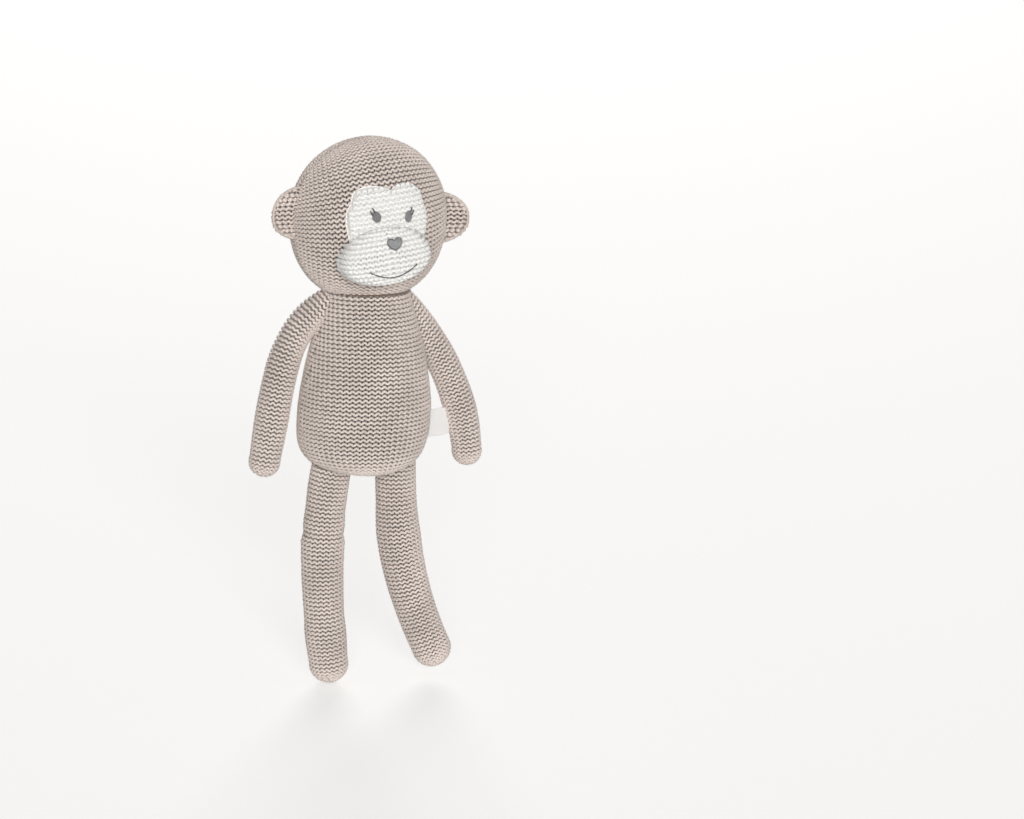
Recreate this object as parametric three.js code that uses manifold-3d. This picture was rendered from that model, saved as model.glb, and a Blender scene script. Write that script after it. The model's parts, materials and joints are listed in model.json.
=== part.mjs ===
// A stuffed toy monkey of knitted cotton, sewn together from an egg-shaped torso, a round head with a
// white face, two ears, two arms and two legs. Millimetres, +Z up. The face looks along -Y, and the toy's
// own right side is at -X. The origin is the middle of the flattened back, where the toy is held.
import * as THREE from "three";
import { mergeVertices } from "three/addons/utils/BufferGeometryUtils.js";
import Module from "manifold-3d";

const wasm = await Module();
wasm.setup();

// Cloth, thread and clearances
const KNIT_WALL = 2.4;
const MASK_WALL = 1.8;
const SEW_GAP = 0.3;
const TURN_GAP = 0.5;
const THREAD_RADIUS = 0.6;
const STITCH_HEIGHT = 0.9;

// Torso, measured up from the seat
const BELLY_HALF_WIDTH = 43.2;
const BELLY_HALF_DEPTH = 38.3;
const BELLY_HEIGHT = 40;
const SEAT_FULLNESS = 3.8;
const NECK_HEIGHT = 116;
const NECK_RADIUS = 26;
const SHOULDER_FULLNESS = 2.4;
const NECK_BALL_RADIUS = 30;
const NECK_OPENING_RADIUS = 9;
const SEAT_FLAT = 0.5;
const BACK_FLAT = 0.6;
const BACK_HOLD_HEIGHT = 55;
const SIDE_SEAM_BOTTOM = 12;
const SEAM_BELOW_SHOULDER = 42;

// Head and face, with heights measured from the middle of the head
const HEAD_HALF_WIDTH = 49.3;
const HEAD_HALF_DEPTH = 47;
const HEAD_HALF_HEIGHT = 49.6;
const HEAD_RISE = 46;
const JAW_FULLNESS = 2.5;
const MASK_RIGHT_HALF_WIDTH = 27;
const MASK_RIGHT_TOP = 22;
const MASK_LEFT_HALF_WIDTH = 23.6;
const MASK_LEFT_TOP = 24;
const MASK_DIP = 20;
const MASK_BOTTOM = -13;
const MUZZLE_HALF_WIDTH = 30;
const MUZZLE_HALF_HEIGHT = 21;
const MUZZLE_HALF_DEPTH = 18;
const MUZZLE_FULLNESS = 2.4;
const MUZZLE_DROP = 18;
const MUZZLE_FORWARD = 36;
const MUZZLE_TILT = THREE.MathUtils.degToRad(4.5);
const EYE_HALF_SPACING = 10.5;
const EYE_HEIGHT = 5;
const EYE_HALF_WIDTH = 2.6;
const EYE_HALF_HEIGHT = 3.3;
const LASH_LENGTH = 3.3;
const LASH_WIDTH = 1;
const LASH_TUCK = 1;
const LASH_ROOTS = [30, 75];
const LASH_SLANT = 62;

// Nose and mouth, with heights measured from the middle of the muzzle
const NOSE_WIDTH = 9.4;
const NOSE_TOP = 10.4;
const NOSE_TIP = 3.2;
const MOUTH_HALF_WIDTH = 15;
const MOUTH_CORNER = -8.3;
const MOUTH_MIDDLE = -14;

// Ears
const EAR_HALF_HEIGHT = 16.5;
const EAR_REACH = 15.5;
const EAR_PANEL = 2.4;
const EAR_FORWARD = 2;
const RIGHT_EAR_RISE = 4;
const LEFT_EAR_RISE = -1;

// Arms, with the swing axis at shoulder height
const SHOULDER_HEIGHT = 104;
const ARM_SET_BACK = 4;
const SHOULDER_LIFT = 5;
const RIGHT_ARM_DROP = 104;
const RIGHT_UPPER_REACH = 54;
const RIGHT_UPPER_SHARE = 0.115;
const RIGHT_FORE_REACH = 56;
const RIGHT_FORE_SHARE = 0.42;
const RIGHT_HAND_REACH = 66.8;
const LEFT_ARM_DROP = 105;
const LEFT_UPPER_REACH = 44.5;
const LEFT_UPPER_SHARE = 0.095;
const LEFT_FORE_REACH = 70;
const LEFT_FORE_SHARE = 0.53;
const LEFT_HAND_REACH = 69.5;
const UPPER_ARM_PLACE = 0.42;
const LOWER_ARM_PLACE = 0.7;
const ARM_ROOT_RADIUS = 10.5;
const ARM_UPPER_RADIUS = 10.4;
const ARM_LOWER_RADIUS = 10.6;
const HAND_RADIUS = 9.8;
const ARM_OPENING_RADIUS = 4.2;

// Legs, with the swing axis at the middle of the round leg top
const HIP_HALF_SPACING = 21.5;
const HIP_SET_BACK = 5;
const HIP_BALL_RADIUS = 14;
const HIP_SINK = 0.6;
const LEG_WAIST_RADIUS = 12.5;
const LEG_CALF_RADIUS = 14.2;
const FOOT_RADIUS = 12.7;
const WAIST_BELOW_BALL = 7.5;
const CALF_BELOW_BALL = 34;
const RIGHT_FOOT_DROP = 138;
const RIGHT_FOOT_TUCK = 1;
const RIGHT_KNEE_SHARE = 0.29;
const RIGHT_KNEE_BOW = 7.5;
const RIGHT_SHIN_SHARE = 0.58;
const RIGHT_SHIN_BOW = 6.5;
const LEFT_FOOT_DROP = 130;
const LEFT_FOOT_REACH = 50;
const LEFT_FOOT_FORWARD = 10;
const LEFT_KNEE_SHARE = 0.4;
const LEFT_SHIN_SHARE = 0.68;
const LEFT_SHIN_BOW = 9.5;
const LEG_OPENING_RADIUS = 4.5;

// Care label in the left side seam
const LABEL_WIDTH = 7;
const LABEL_HEIGHT = 18;
const LABEL_THICKNESS = 0.6;
const LABEL_BOTTOM = 20;
const LABEL_TURN = THREE.MathUtils.degToRad(15);

// Facets
const BODY_SIDES = 32;
const CORE_SIDES = 20;
const DISH_SIDES = 24;
const LIMB_SIDES = 12;
const LIMB_CORE_SIDES = 8;
const RING_SIDES = 14;
const THREAD_SIDES = 5;
const CURVE_STEPS = 6;

const HEAD_HEIGHT = NECK_HEIGHT + HEAD_RISE;
const NECK_PIVOT_HEIGHT = NECK_HEIGHT - Math.sqrt(NECK_BALL_RADIUS ** 2 - NECK_RADIUS ** 2);
const FAR = 200;

// Solids: a closed geometry becomes a solid that can be cut, and a cut solid a geometry again

function toSolid(geometry) {
  const bare = geometry.clone();
  bare.deleteAttribute("normal");
  bare.deleteAttribute("uv");
  const merged = mergeVertices(bare, 1e-4);
  const corners = merged.index.array;
  const triVerts = [];
  for (let i = 0; i < corners.length; i += 3) {
    const [a, b, c] = corners.slice(i, i + 3);
    const collapsed = a === b || b === c || c === a;
    if (!collapsed) {
      triVerts.push(a, b, c);
    }
  }
  const vertProperties = Float32Array.from(merged.getAttribute("position").array);
  const mesh = new wasm.Mesh({ numProp: 3, vertProperties, triVerts: Uint32Array.from(triVerts) });
  return new wasm.Manifold(mesh);
}

function toGeometry(solid) {
  const { vertProperties, triVerts } = solid.getMesh();
  const geometry = new THREE.BufferGeometry();
  geometry.setAttribute("position", new THREE.BufferAttribute(vertProperties, 3));
  geometry.setIndex(new THREE.BufferAttribute(triVerts, 1));
  geometry.computeVertexNormals();
  return geometry;
}

// A form turned about the upright axis from an outline of (radius, height) points, bottom first
function turned(outline, sides) {
  return new THREE.LatheGeometry(outline, sides).rotateX(Math.PI / 2);
}

function ball(radius, x, y, z) {
  const geometry = new THREE.SphereGeometry(radius, DISH_SIDES, DISH_SIDES / 2).rotateX(Math.PI / 2);
  return toSolid(geometry.translate(x, y, z));
}

function block(low, high) {
  const size = new THREE.Vector3().subVectors(high, low);
  const middle = new THREE.Vector3().addVectors(low, high).multiplyScalar(0.5);
  return toSolid(new THREE.BoxGeometry(size.x, size.y, size.z).translate(middle.x, middle.y, middle.z));
}

// A shape drawn as seen from the front, pushed forward from an upright plane through the head
function frontPrism(shape) {
  const geometry = new THREE.ExtrudeGeometry(shape, {
    depth: FAR,
    bevelEnabled: false,
    curveSegments: CURVE_STEPS,
  });
  return geometry.rotateX(Math.PI / 2);
}

function facePrism(shape) {
  return toSolid(frontPrism(shape).translate(0, 0, HEAD_HEIGHT));
}

// A value that changes smoothly from stop to stop, each stop being [place, value]
function smoothStops(stops, place) {
  const next = stops.findIndex(([stop]) => place < stop);
  if (next === 0) {
    return stops[0][1];
  }
  if (next === -1) {
    return stops[stops.length - 1][1];
  }
  const [[from, low], [to, high]] = [stops[next - 1], stops[next]];
  return THREE.MathUtils.lerp(low, high, THREE.MathUtils.smoothstep(place, from, to));
}

// Torso: a superellipse below the belly, an easing line up to the neck and a ball under the head

function torsoHalfWidth(z) {
  if (z < BELLY_HEIGHT) {
    const drop = (BELLY_HEIGHT - z) / BELLY_HEIGHT;
    return BELLY_HALF_WIDTH * (1 - drop ** SEAT_FULLNESS) ** (1 / SEAT_FULLNESS);
  }
  const rise = (z - BELLY_HEIGHT) / (NECK_HEIGHT - BELLY_HEIGHT);
  return BELLY_HALF_WIDTH - (BELLY_HALF_WIDTH - NECK_RADIUS) * rise ** SHOULDER_FULLNESS;
}

function torsoDepthRatio(z) {
  const rise = THREE.MathUtils.clamp((z - BELLY_HEIGHT) / (NECK_HEIGHT - BELLY_HEIGHT), 0, 1);
  return THREE.MathUtils.lerp(BELLY_HALF_DEPTH / BELLY_HALF_WIDTH, 1, rise);
}

function torsoOutline() {
  const seatSteps = 6;
  const sideSteps = 6;
  const ballSteps = 4;
  const outline = [];
  for (let i = 0; i <= seatSteps; i++) {
    const angle = (i / seatSteps) * (Math.PI / 2);
    const out = Math.sin(angle) ** (2 / SEAT_FULLNESS);
    const up = 1 - Math.abs(Math.cos(angle)) ** (2 / SEAT_FULLNESS);
    outline.push(new THREE.Vector2(BELLY_HALF_WIDTH * out, BELLY_HEIGHT * up));
  }
  for (let i = 1; i <= sideSteps; i++) {
    const z = THREE.MathUtils.lerp(BELLY_HEIGHT, NECK_HEIGHT, i / sideSteps);
    outline.push(new THREE.Vector2(torsoHalfWidth(z), z));
  }
  const neckAngle = Math.asin(NECK_RADIUS / NECK_BALL_RADIUS);
  for (let i = 1; i <= ballSteps; i++) {
    const angle = neckAngle * (1 - i / ballSteps);
    const z = NECK_PIVOT_HEIGHT + NECK_BALL_RADIUS * Math.cos(angle);
    outline.push(new THREE.Vector2(NECK_BALL_RADIUS * Math.sin(angle), z));
  }
  return outline;
}

function offsetOutline(outline, grow) {
  const last = outline.length - 1;
  return outline.map((point, i) => {
    if (i === 0 || i === last) {
      return new THREE.Vector2(0, point.y + (i === 0 ? -grow : grow));
    }
    const along = new THREE.Vector2().subVectors(outline[i + 1], outline[i - 1]).normalize();
    return new THREE.Vector2(point.x + along.y * grow, point.y - along.x * grow);
  });
}

function torsoForm(grow, sides) {
  const geometry = turned(offsetOutline(torsoOutline(), grow), sides);
  const position = geometry.getAttribute("position");
  for (let i = 0; i < position.count; i++) {
    position.setY(i, position.getY(i) * torsoDepthRatio(position.getZ(i)));
  }
  return toSolid(geometry);
}

// Head: round above, a little squarer in the jaw
function headForm(grow, sides) {
  const steps = sides / 2;
  const outline = [];
  for (let i = 0; i <= steps; i++) {
    const angle = (i / steps - 0.5) * Math.PI;
    const power = angle < 0 ? 2 / JAW_FULLNESS : 1;
    const out = Math.abs(Math.cos(angle)) ** power;
    const up = Math.sign(angle) * Math.abs(Math.sin(angle)) ** power;
    outline.push(new THREE.Vector2(i % steps === 0 ? 0 : out, up));
  }
  const geometry = turned(outline, sides);
  geometry.scale(HEAD_HALF_WIDTH + grow, HEAD_HALF_DEPTH + grow, HEAD_HALF_HEIGHT + grow);
  return toSolid(geometry.translate(0, 0, HEAD_HEIGHT));
}

// Muzzle: a bean fuller than an ellipsoid, sewn on with its left end a little raised
function onMuzzlePlace(geometry) {
  return geometry.rotateY(-MUZZLE_TILT).translate(0, -MUZZLE_FORWARD, HEAD_HEIGHT - MUZZLE_DROP);
}

function muzzleForm(grow, sides) {
  const geometry = new THREE.SphereGeometry(1, sides, sides / 2);
  const position = geometry.getAttribute("position");
  const fuller = (part) => Math.sign(part) * Math.abs(part) ** (2 / MUZZLE_FULLNESS);
  for (let i = 0; i < position.count; i++) {
    position.setXYZ(i, fuller(position.getX(i)), fuller(position.getY(i)), fuller(position.getZ(i)));
  }
  geometry.scale(MUZZLE_HALF_WIDTH + grow, MUZZLE_HALF_DEPTH + grow, MUZZLE_HALF_HEIGHT + grow);
  return toSolid(onMuzzlePlace(geometry));
}

// Limbs: a tube along a centre line, whose round root and tip keep their centres as the wall is offset

function limbSection(limb, grow, place) {
  const tipStart = limb.length - limb.tipRadius;
  const beforeRoot = limb.rootRadius - place;
  const afterTip = place - tipStart;
  if (beforeRoot > 0) {
    return Math.sqrt(Math.max((limb.rootRadius + grow) ** 2 - beforeRoot ** 2, 0));
  }
  if (afterTip > 0) {
    return Math.sqrt(Math.max((limb.tipRadius + grow) ** 2 - afterTip ** 2, 0));
  }
  const stops = [[limb.rootRadius, limb.rootRadius], ...limb.stops, [tipStart, limb.tipRadius]];
  return smoothStops(stops, place) + grow;
}

function limbPlaces(limb, grow) {
  const capSteps = 4;
  const bodySteps = 9;
  const tipStart = limb.length - limb.tipRadius;
  const places = [];
  for (let i = 0; i < capSteps; i++) {
    const angle = (i / capSteps) * (Math.PI / 2);
    places.push(limb.rootRadius - (limb.rootRadius + grow) * Math.cos(angle));
  }
  for (let i = 0; i < bodySteps; i++) {
    places.push(THREE.MathUtils.lerp(limb.rootRadius, tipStart, i / bodySteps));
  }
  for (let i = 0; i <= capSteps; i++) {
    const angle = (i / capSteps) * (Math.PI / 2);
    places.push(tipStart + (limb.tipRadius + grow) * Math.sin(angle));
  }
  return places;
}

function limbForm(limb, grow, sides) {
  const places = limbPlaces(limb, grow);
  const positions = [];
  const index = [];
  places.forEach((place, ring) => {
    const share = place / limb.length;
    const middle = limb.path.getPointAt(share);
    const along = limb.path.getTangentAt(share);
    const back = new THREE.Vector3(0, 1, 0).addScaledVector(along, -along.y).normalize();
    const across = new THREE.Vector3().crossVectors(along, back);
    const isPole = ring === 0 || ring === places.length - 1;
    const radius = isPole ? 0 : limbSection(limb, grow, place);
    for (let side = 0; side < sides; side++) {
      const angle = (side / sides) * 2 * Math.PI;
      const point = middle.clone();
      point.addScaledVector(back, radius * Math.cos(angle));
      point.addScaledVector(across, radius * Math.sin(angle));
      positions.push(point.x, point.y, point.z);
      if (ring > 0) {
        const here = ring * sides + side;
        const next = ring * sides + ((side + 1) % sides);
        index.push(here - sides, next - sides, next, here - sides, next, here);
      }
    }
  });
  const geometry = new THREE.BufferGeometry();
  geometry.setAttribute("position", new THREE.Float32BufferAttribute(positions, 3));
  geometry.setIndex(index);
  return toSolid(geometry);
}

function makeLimb(path, rootRadius, tipRadius, stops) {
  const length = path.getLength();
  return { path, length, rootRadius, tipRadius, stops };
}

function armLimb(side, upper, fore, hand) {
  const point = ([reach, drop]) => new THREE.Vector3(side * reach, ARM_SET_BACK, SHOULDER_HEIGHT - drop);
  const root = [torsoHalfWidth(SHOULDER_HEIGHT) - ARM_ROOT_RADIUS, -SHOULDER_LIFT];
  const path = new THREE.CubicBezierCurve3(point(root), point(upper), point(fore), point(hand));
  const length = path.getLength();
  const stops = [[UPPER_ARM_PLACE * length, ARM_UPPER_RADIUS], [LOWER_ARM_PLACE * length, ARM_LOWER_RADIUS]];
  return makeLimb(path, ARM_ROOT_RADIUS, HAND_RADIUS, stops);
}

// The right arm falls close to the torso from a square shoulder, and the left arm slopes out to its hand
function bothArms() {
  const right = armLimb(
    -1,
    [RIGHT_UPPER_REACH, RIGHT_UPPER_SHARE * RIGHT_ARM_DROP],
    [RIGHT_FORE_REACH, RIGHT_FORE_SHARE * RIGHT_ARM_DROP],
    [RIGHT_HAND_REACH, RIGHT_ARM_DROP],
  );
  const left = armLimb(
    1,
    [LEFT_UPPER_REACH, LEFT_UPPER_SHARE * LEFT_ARM_DROP],
    [LEFT_FORE_REACH, LEFT_FORE_SHARE * LEFT_ARM_DROP],
    [LEFT_HAND_REACH, LEFT_ARM_DROP],
  );
  return { right, left };
}

// The arm lies against the torso's side, on a face turned about the swing axis so that it can swing
function shoulderFace(side, clearance) {
  const steps = 7;
  const outline = [];
  let reach = 0;
  for (let i = 0; i <= steps; i++) {
    const distance = (i / steps) * (SHOULDER_HEIGHT - BELLY_HEIGHT);
    reach = Math.max(reach, torsoHalfWidth(SHOULDER_HEIGHT - distance));
    outline.unshift(new THREE.Vector2(distance, reach + clearance));
  }
  const farCorners = [[0, -FAR], [FAR, -FAR], [FAR, reach + clearance]];
  outline.unshift(...farCorners.map(([distance, height]) => new THREE.Vector2(distance, height)));
  const geometry = new THREE.LatheGeometry(outline, CORE_SIDES).rotateZ((-side * Math.PI) / 2);
  return toSolid(geometry.translate(0, ARM_SET_BACK, SHOULDER_HEIGHT));
}

// The hip ball is sunk a little into the torso's seat: its height follows from the seat's outline
function hipHeight() {
  const radius = Math.hypot(HIP_HALF_SPACING, (HIP_SET_BACK * BELLY_HALF_WIDTH) / BELLY_HALF_DEPTH);
  const seatGap = (z) => {
    const gaps = [];
    for (let height = 0; height < BELLY_HEIGHT; height += 0.1) {
      gaps.push(Math.hypot(torsoHalfWidth(height) - radius, height - z));
    }
    return Math.min(...gaps);
  };
  let z = 0;
  while (seatGap(z) < HIP_BALL_RADIUS - HIP_SINK) {
    z -= 0.02;
  }
  return z;
}

const HIP_HEIGHT = hipHeight();

function legLimb(side, knee, shin, foot) {
  const point = ([reach, y, z]) => new THREE.Vector3(side * reach, y, z);
  const root = [HIP_HALF_SPACING, HIP_SET_BACK, HIP_HEIGHT + HIP_BALL_RADIUS];
  const path = new THREE.CubicBezierCurve3(point(root), point(knee), point(shin), point(foot));
  const stops = [
    [HIP_BALL_RADIUS + WAIST_BELOW_BALL, LEG_WAIST_RADIUS],
    [HIP_BALL_RADIUS + CALF_BELOW_BALL, LEG_CALF_RADIUS],
  ];
  return makeLimb(path, HIP_BALL_RADIUS, FOOT_RADIUS, stops);
}

// The right leg hangs nearly straight, and the left leg bends out and forward to its foot
function bothLegs() {
  const right = legLimb(
    -1,
    [HIP_HALF_SPACING + RIGHT_KNEE_BOW, HIP_SET_BACK, -RIGHT_KNEE_SHARE * RIGHT_FOOT_DROP],
    [HIP_HALF_SPACING + RIGHT_SHIN_BOW, HIP_SET_BACK, -RIGHT_SHIN_SHARE * RIGHT_FOOT_DROP],
    [HIP_HALF_SPACING - RIGHT_FOOT_TUCK, HIP_SET_BACK, -RIGHT_FOOT_DROP],
  );
  const left = legLimb(
    1,
    [HIP_HALF_SPACING, HIP_SET_BACK, -LEFT_KNEE_SHARE * LEFT_FOOT_DROP],
    [HIP_HALF_SPACING + LEFT_SHIN_BOW, HIP_SET_BACK, -LEFT_SHIN_SHARE * LEFT_FOOT_DROP],
    [LEFT_FOOT_REACH, HIP_SET_BACK - LEFT_FOOT_FORWARD, -LEFT_FOOT_DROP],
  );
  return { right, left };
}

// The opening that a drawn thread closes, as a plug somewhat longer than the cloth is thick
function openingCut(radius) {
  return new THREE.CylinderGeometry(radius, radius, 3 * KNIT_WALL, RING_SIDES);
}

// A drawn thread: a ring that lies in an opening of the given radius, about the upright axis
function gatherThread(openingRadius) {
  const radius = openingRadius - SEW_GAP - THREAD_RADIUS;
  return new THREE.TorusGeometry(radius, THREAD_RADIUS, THREAD_SIDES, RING_SIDES);
}

// Materials
function cloth(color) {
  return new THREE.MeshStandardMaterial({ color, roughness: 0.95, metalness: 0 });
}

const greigeKnit = () => cloth(0xc6b9af);
const whiteKnit = () => cloth(0xf4f2ee);
const filling = () => cloth(0xefeae2);
const greyThread = () => cloth(0x7d7d7f);
const darkThread = () => cloth(0x585a59);
const sewingThread = () => cloth(0xb0a296);
const wovenTape = () => cloth(0xf2f2f0);

const monkey = new THREE.Group();

function addPiece(name, geometry, material) {
  const mesh = new THREE.Mesh(geometry, material);
  mesh.name = name;
  monkey.add(mesh);
  return mesh;
}

// Torso
const arms = bothArms();
const legs = bothLegs();
const backReach = torsoHalfWidth(BACK_HOLD_HEIGHT) * torsoDepthRatio(BACK_HOLD_HEIGHT);
const backFace = backReach - BACK_FLAT;

function torsoCover() {
  const neckOpening = new THREE.CylinderGeometry(NECK_OPENING_RADIUS, NECK_OPENING_RADIUS, FAR, RING_SIDES);
  neckOpening.rotateX(Math.PI / 2).translate(0, 0, NECK_HEIGHT + FAR / 2);
  const behindBack = block(new THREE.Vector3(-FAR, backFace, -FAR), new THREE.Vector3(FAR, FAR, FAR));
  const underSeat = block(new THREE.Vector3(-FAR, -FAR, -FAR), new THREE.Vector3(FAR, FAR, SEAT_FLAT));
  const hipDish = (side) =>
    ball(HIP_BALL_RADIUS + TURN_GAP, side * HIP_HALF_SPACING, HIP_SET_BACK, HIP_HEIGHT);
  return torsoForm(0, BODY_SIDES)
    .subtract(torsoForm(-KNIT_WALL, CORE_SIDES))
    .subtract(toSolid(neckOpening))
    .subtract(behindBack)
    .subtract(underSeat)
    .subtract(hipDish(-1))
    .subtract(hipDish(1));
}

function sideSeam(side) {
  const steps = 12;
  const top = SHOULDER_HEIGHT - SEAM_BELOW_SHOULDER;
  const stand = SEW_GAP + THREAD_RADIUS;
  const points = [];
  for (let i = 0; i <= steps; i++) {
    const z = THREE.MathUtils.lerp(SIDE_SEAM_BOTTOM, top, i / steps);
    points.push(new THREE.Vector3(side * (torsoHalfWidth(z) + stand), 0, z));
  }
  const section = new THREE.Shape().absarc(0, 0, THREAD_RADIUS, 0, 2 * Math.PI);
  return new THREE.ExtrudeGeometry(section, {
    steps,
    curveSegments: THREAD_SIDES,
    extrudePath: new THREE.CatmullRomCurve3(points),
  });
}

addPiece("torso_cover", toGeometry(torsoCover()), greigeKnit());
addPiece("torso_stuffing", toGeometry(torsoForm(-KNIT_WALL - SEW_GAP, CORE_SIDES)), filling());
addPiece("torso_right_side_seam", sideSeam(-1), sewingThread());
addPiece("torso_left_side_seam", sideSeam(1), sewingThread());

const neckThread = addPiece("neck_gather_thread", gatherThread(NECK_OPENING_RADIUS), sewingThread());
const neckThreadDrop = NECK_BALL_RADIUS - KNIT_WALL / 2;
neckThread.position.z = NECK_PIVOT_HEIGHT + Math.sqrt(neckThreadDrop ** 2 - NECK_OPENING_RADIUS ** 2);

// Head
const neckDish = (clearance) => ball(NECK_BALL_RADIUS + clearance, 0, 0, NECK_PIVOT_HEIGHT);

const headShell = headForm(0, BODY_SIDES)
  .subtract(headForm(-KNIT_WALL, CORE_SIDES))
  .subtract(neckDish(TURN_GAP));
const headCore = headForm(-KNIT_WALL - SEW_GAP, CORE_SIDES).subtract(neckDish(TURN_GAP));
addPiece("head_cover", toGeometry(headShell), greigeKnit());
addPiece("head_stuffing", toGeometry(headCore), filling());

// Face: a flat white patch, and a puffed white muzzle over its lower edge

// One half of the patch: an arch over the eye, then a cheek that swells out and tucks under the muzzle
function maskHalf(outline, side, halfWidth, top) {
  const edge = side * 0.9 * halfWidth;
  const bulge = side * 1.06 * halfWidth;
  const brow = 1.1 * top;
  const temple = 0.55 * top;
  const cheek = 0.3 * top;
  outline.moveTo(0, MASK_DIP);
  outline.bezierCurveTo(0.3 * edge, brow, edge, brow, edge, temple);
  outline.bezierCurveTo(bulge, cheek, bulge, 0, edge, MASK_BOTTOM);
  outline.lineTo(0, MASK_BOTTOM);
  return outline;
}

function maskOutline() {
  const right = maskHalf(new THREE.Path(), -1, MASK_RIGHT_HALF_WIDTH, MASK_RIGHT_TOP).getPoints(CURVE_STEPS);
  const left = maskHalf(new THREE.Path(), 1, MASK_LEFT_HALF_WIDTH, MASK_LEFT_TOP).getPoints(CURVE_STEPS);
  return new THREE.Shape([...left, ...right.reverse().slice(1, -1)]);
}

const maskFront = SEW_GAP + MASK_WALL;
const mask = headForm(maskFront, BODY_SIDES)
  .subtract(headForm(SEW_GAP, BODY_SIDES))
  .intersect(facePrism(maskOutline()))
  .subtract(muzzleForm(SEW_GAP, CORE_SIDES));
addPiece("face_mask", toGeometry(mask), whiteKnit());

const muzzleShell = muzzleForm(0, CORE_SIDES)
  .subtract(muzzleForm(-KNIT_WALL, CORE_SIDES))
  .subtract(headForm(SEW_GAP, BODY_SIDES));
const muzzleCore = muzzleForm(-KNIT_WALL - SEW_GAP, CORE_SIDES).subtract(headForm(SEW_GAP, BODY_SIDES));
addPiece("muzzle_cover", toGeometry(muzzleShell), whiteKnit());
addPiece("muzzle_stuffing", toGeometry(muzzleCore), filling());

// Embroidery: each outline is pressed onto the cloth under it, one stitch high

function onMask(prism) {
  const under = maskFront + SEW_GAP;
  return headForm(under + STITCH_HEIGHT, BODY_SIDES).subtract(headForm(under, BODY_SIDES)).intersect(prism);
}

function onMuzzle(shape) {
  const raised = muzzleForm(SEW_GAP + STITCH_HEIGHT, CORE_SIDES);
  const prism = toSolid(onMuzzlePlace(frontPrism(shape)));
  return raised.subtract(muzzleForm(SEW_GAP, CORE_SIDES)).intersect(prism);
}

function eye(side) {
  const oval = new THREE.Shape();
  oval.absellipse(side * EYE_HALF_SPACING, EYE_HEIGHT, EYE_HALF_WIDTH, EYE_HALF_HEIGHT, 0, 2 * Math.PI);
  let prism = facePrism(oval);
  const slant = THREE.MathUtils.degToRad(LASH_SLANT);
  const outward = new THREE.Vector2(Math.cos(slant), Math.sin(slant));
  const half = new THREE.Vector2(-outward.y, outward.x).setLength(LASH_WIDTH / 2);
  for (const place of LASH_ROOTS) {
    const angle = THREE.MathUtils.degToRad(place);
    const root = new THREE.Vector2(EYE_HALF_WIDTH * Math.cos(angle), EYE_HALF_HEIGHT * Math.sin(angle));
    const start = root.clone().addScaledVector(outward, -LASH_TUCK);
    const end = root.clone().addScaledVector(outward, LASH_LENGTH);
    const near = [start.clone().sub(half), end.clone().sub(half)];
    const far = [end.clone().add(half), start.clone().add(half)];
    const lash = [...near, ...far];
    const placed = lash.map((p) => new THREE.Vector2(side * (EYE_HALF_SPACING + p.x), EYE_HEIGHT + p.y));
    prism = prism.add(facePrism(new THREE.Shape(placed)));
  }
  return onMask(prism);
}

function heartOutline() {
  const half = NOSE_WIDTH / 2;
  const level = (share) => THREE.MathUtils.lerp(NOSE_TIP, NOSE_TOP, share);
  const chin = level(0.2);
  const flank = level(0.45);
  const widest = level(0.72);
  const cleft = level(0.84);
  const crown = level(1.07);
  const heart = new THREE.Shape();
  heart.moveTo(0, NOSE_TIP);
  heart.bezierCurveTo(half / 2, chin, half, flank, half, widest);
  heart.bezierCurveTo(half, crown, half / 4, crown, 0, cleft);
  heart.bezierCurveTo(-half / 4, crown, -half, crown, -half, widest);
  heart.bezierCurveTo(-half, flank, -half / 2, chin, 0, NOSE_TIP);
  return heart;
}

function mouthOutline() {
  const control = 2 * MOUTH_MIDDLE - MOUTH_CORNER;
  const smile = new THREE.Shape();
  smile.moveTo(-MOUTH_HALF_WIDTH, MOUTH_CORNER - THREAD_RADIUS);
  smile.quadraticCurveTo(0, control - THREAD_RADIUS, MOUTH_HALF_WIDTH, MOUTH_CORNER - THREAD_RADIUS);
  smile.lineTo(MOUTH_HALF_WIDTH, MOUTH_CORNER + THREAD_RADIUS);
  smile.quadraticCurveTo(0, control + THREAD_RADIUS, -MOUTH_HALF_WIDTH, MOUTH_CORNER + THREAD_RADIUS);
  return smile;
}

addPiece("right_eye", toGeometry(eye(-1)), greyThread());
addPiece("left_eye", toGeometry(eye(1)), greyThread());
addPiece("nose", toGeometry(onMuzzle(heartOutline())), greyThread());
addPiece("mouth", toGeometry(onMuzzle(mouthOutline())), darkThread());

// Ears: two half-round panels back to back, rounded along the root that folds against the head

function earPanel() {
  const rootReach = EAR_PANEL + SEW_GAP / 2;
  const outline = new THREE.Shape();
  outline.absellipse(0, 0, EAR_REACH, EAR_HALF_HEIGHT, -Math.PI / 2, Math.PI / 2);
  outline.lineTo(-rootReach, EAR_HALF_HEIGHT);
  outline.lineTo(-rootReach, -EAR_HALF_HEIGHT);
  const geometry = new THREE.ExtrudeGeometry(outline, {
    depth: EAR_PANEL,
    bevelEnabled: false,
    curveSegments: CURVE_STEPS,
  });
  geometry.translate(0, 0, SEW_GAP / 2).rotateX(Math.PI / 2);
  const root = new THREE.CylinderGeometry(rootReach, rootReach, FAR, RING_SIDES).rotateX(Math.PI / 2);
  const headSide = block(new THREE.Vector3(-FAR, -FAR, -FAR), new THREE.Vector3(0, FAR, FAR));
  return toGeometry(toSolid(geometry).subtract(headSide.subtract(toSolid(root))));
}

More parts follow.
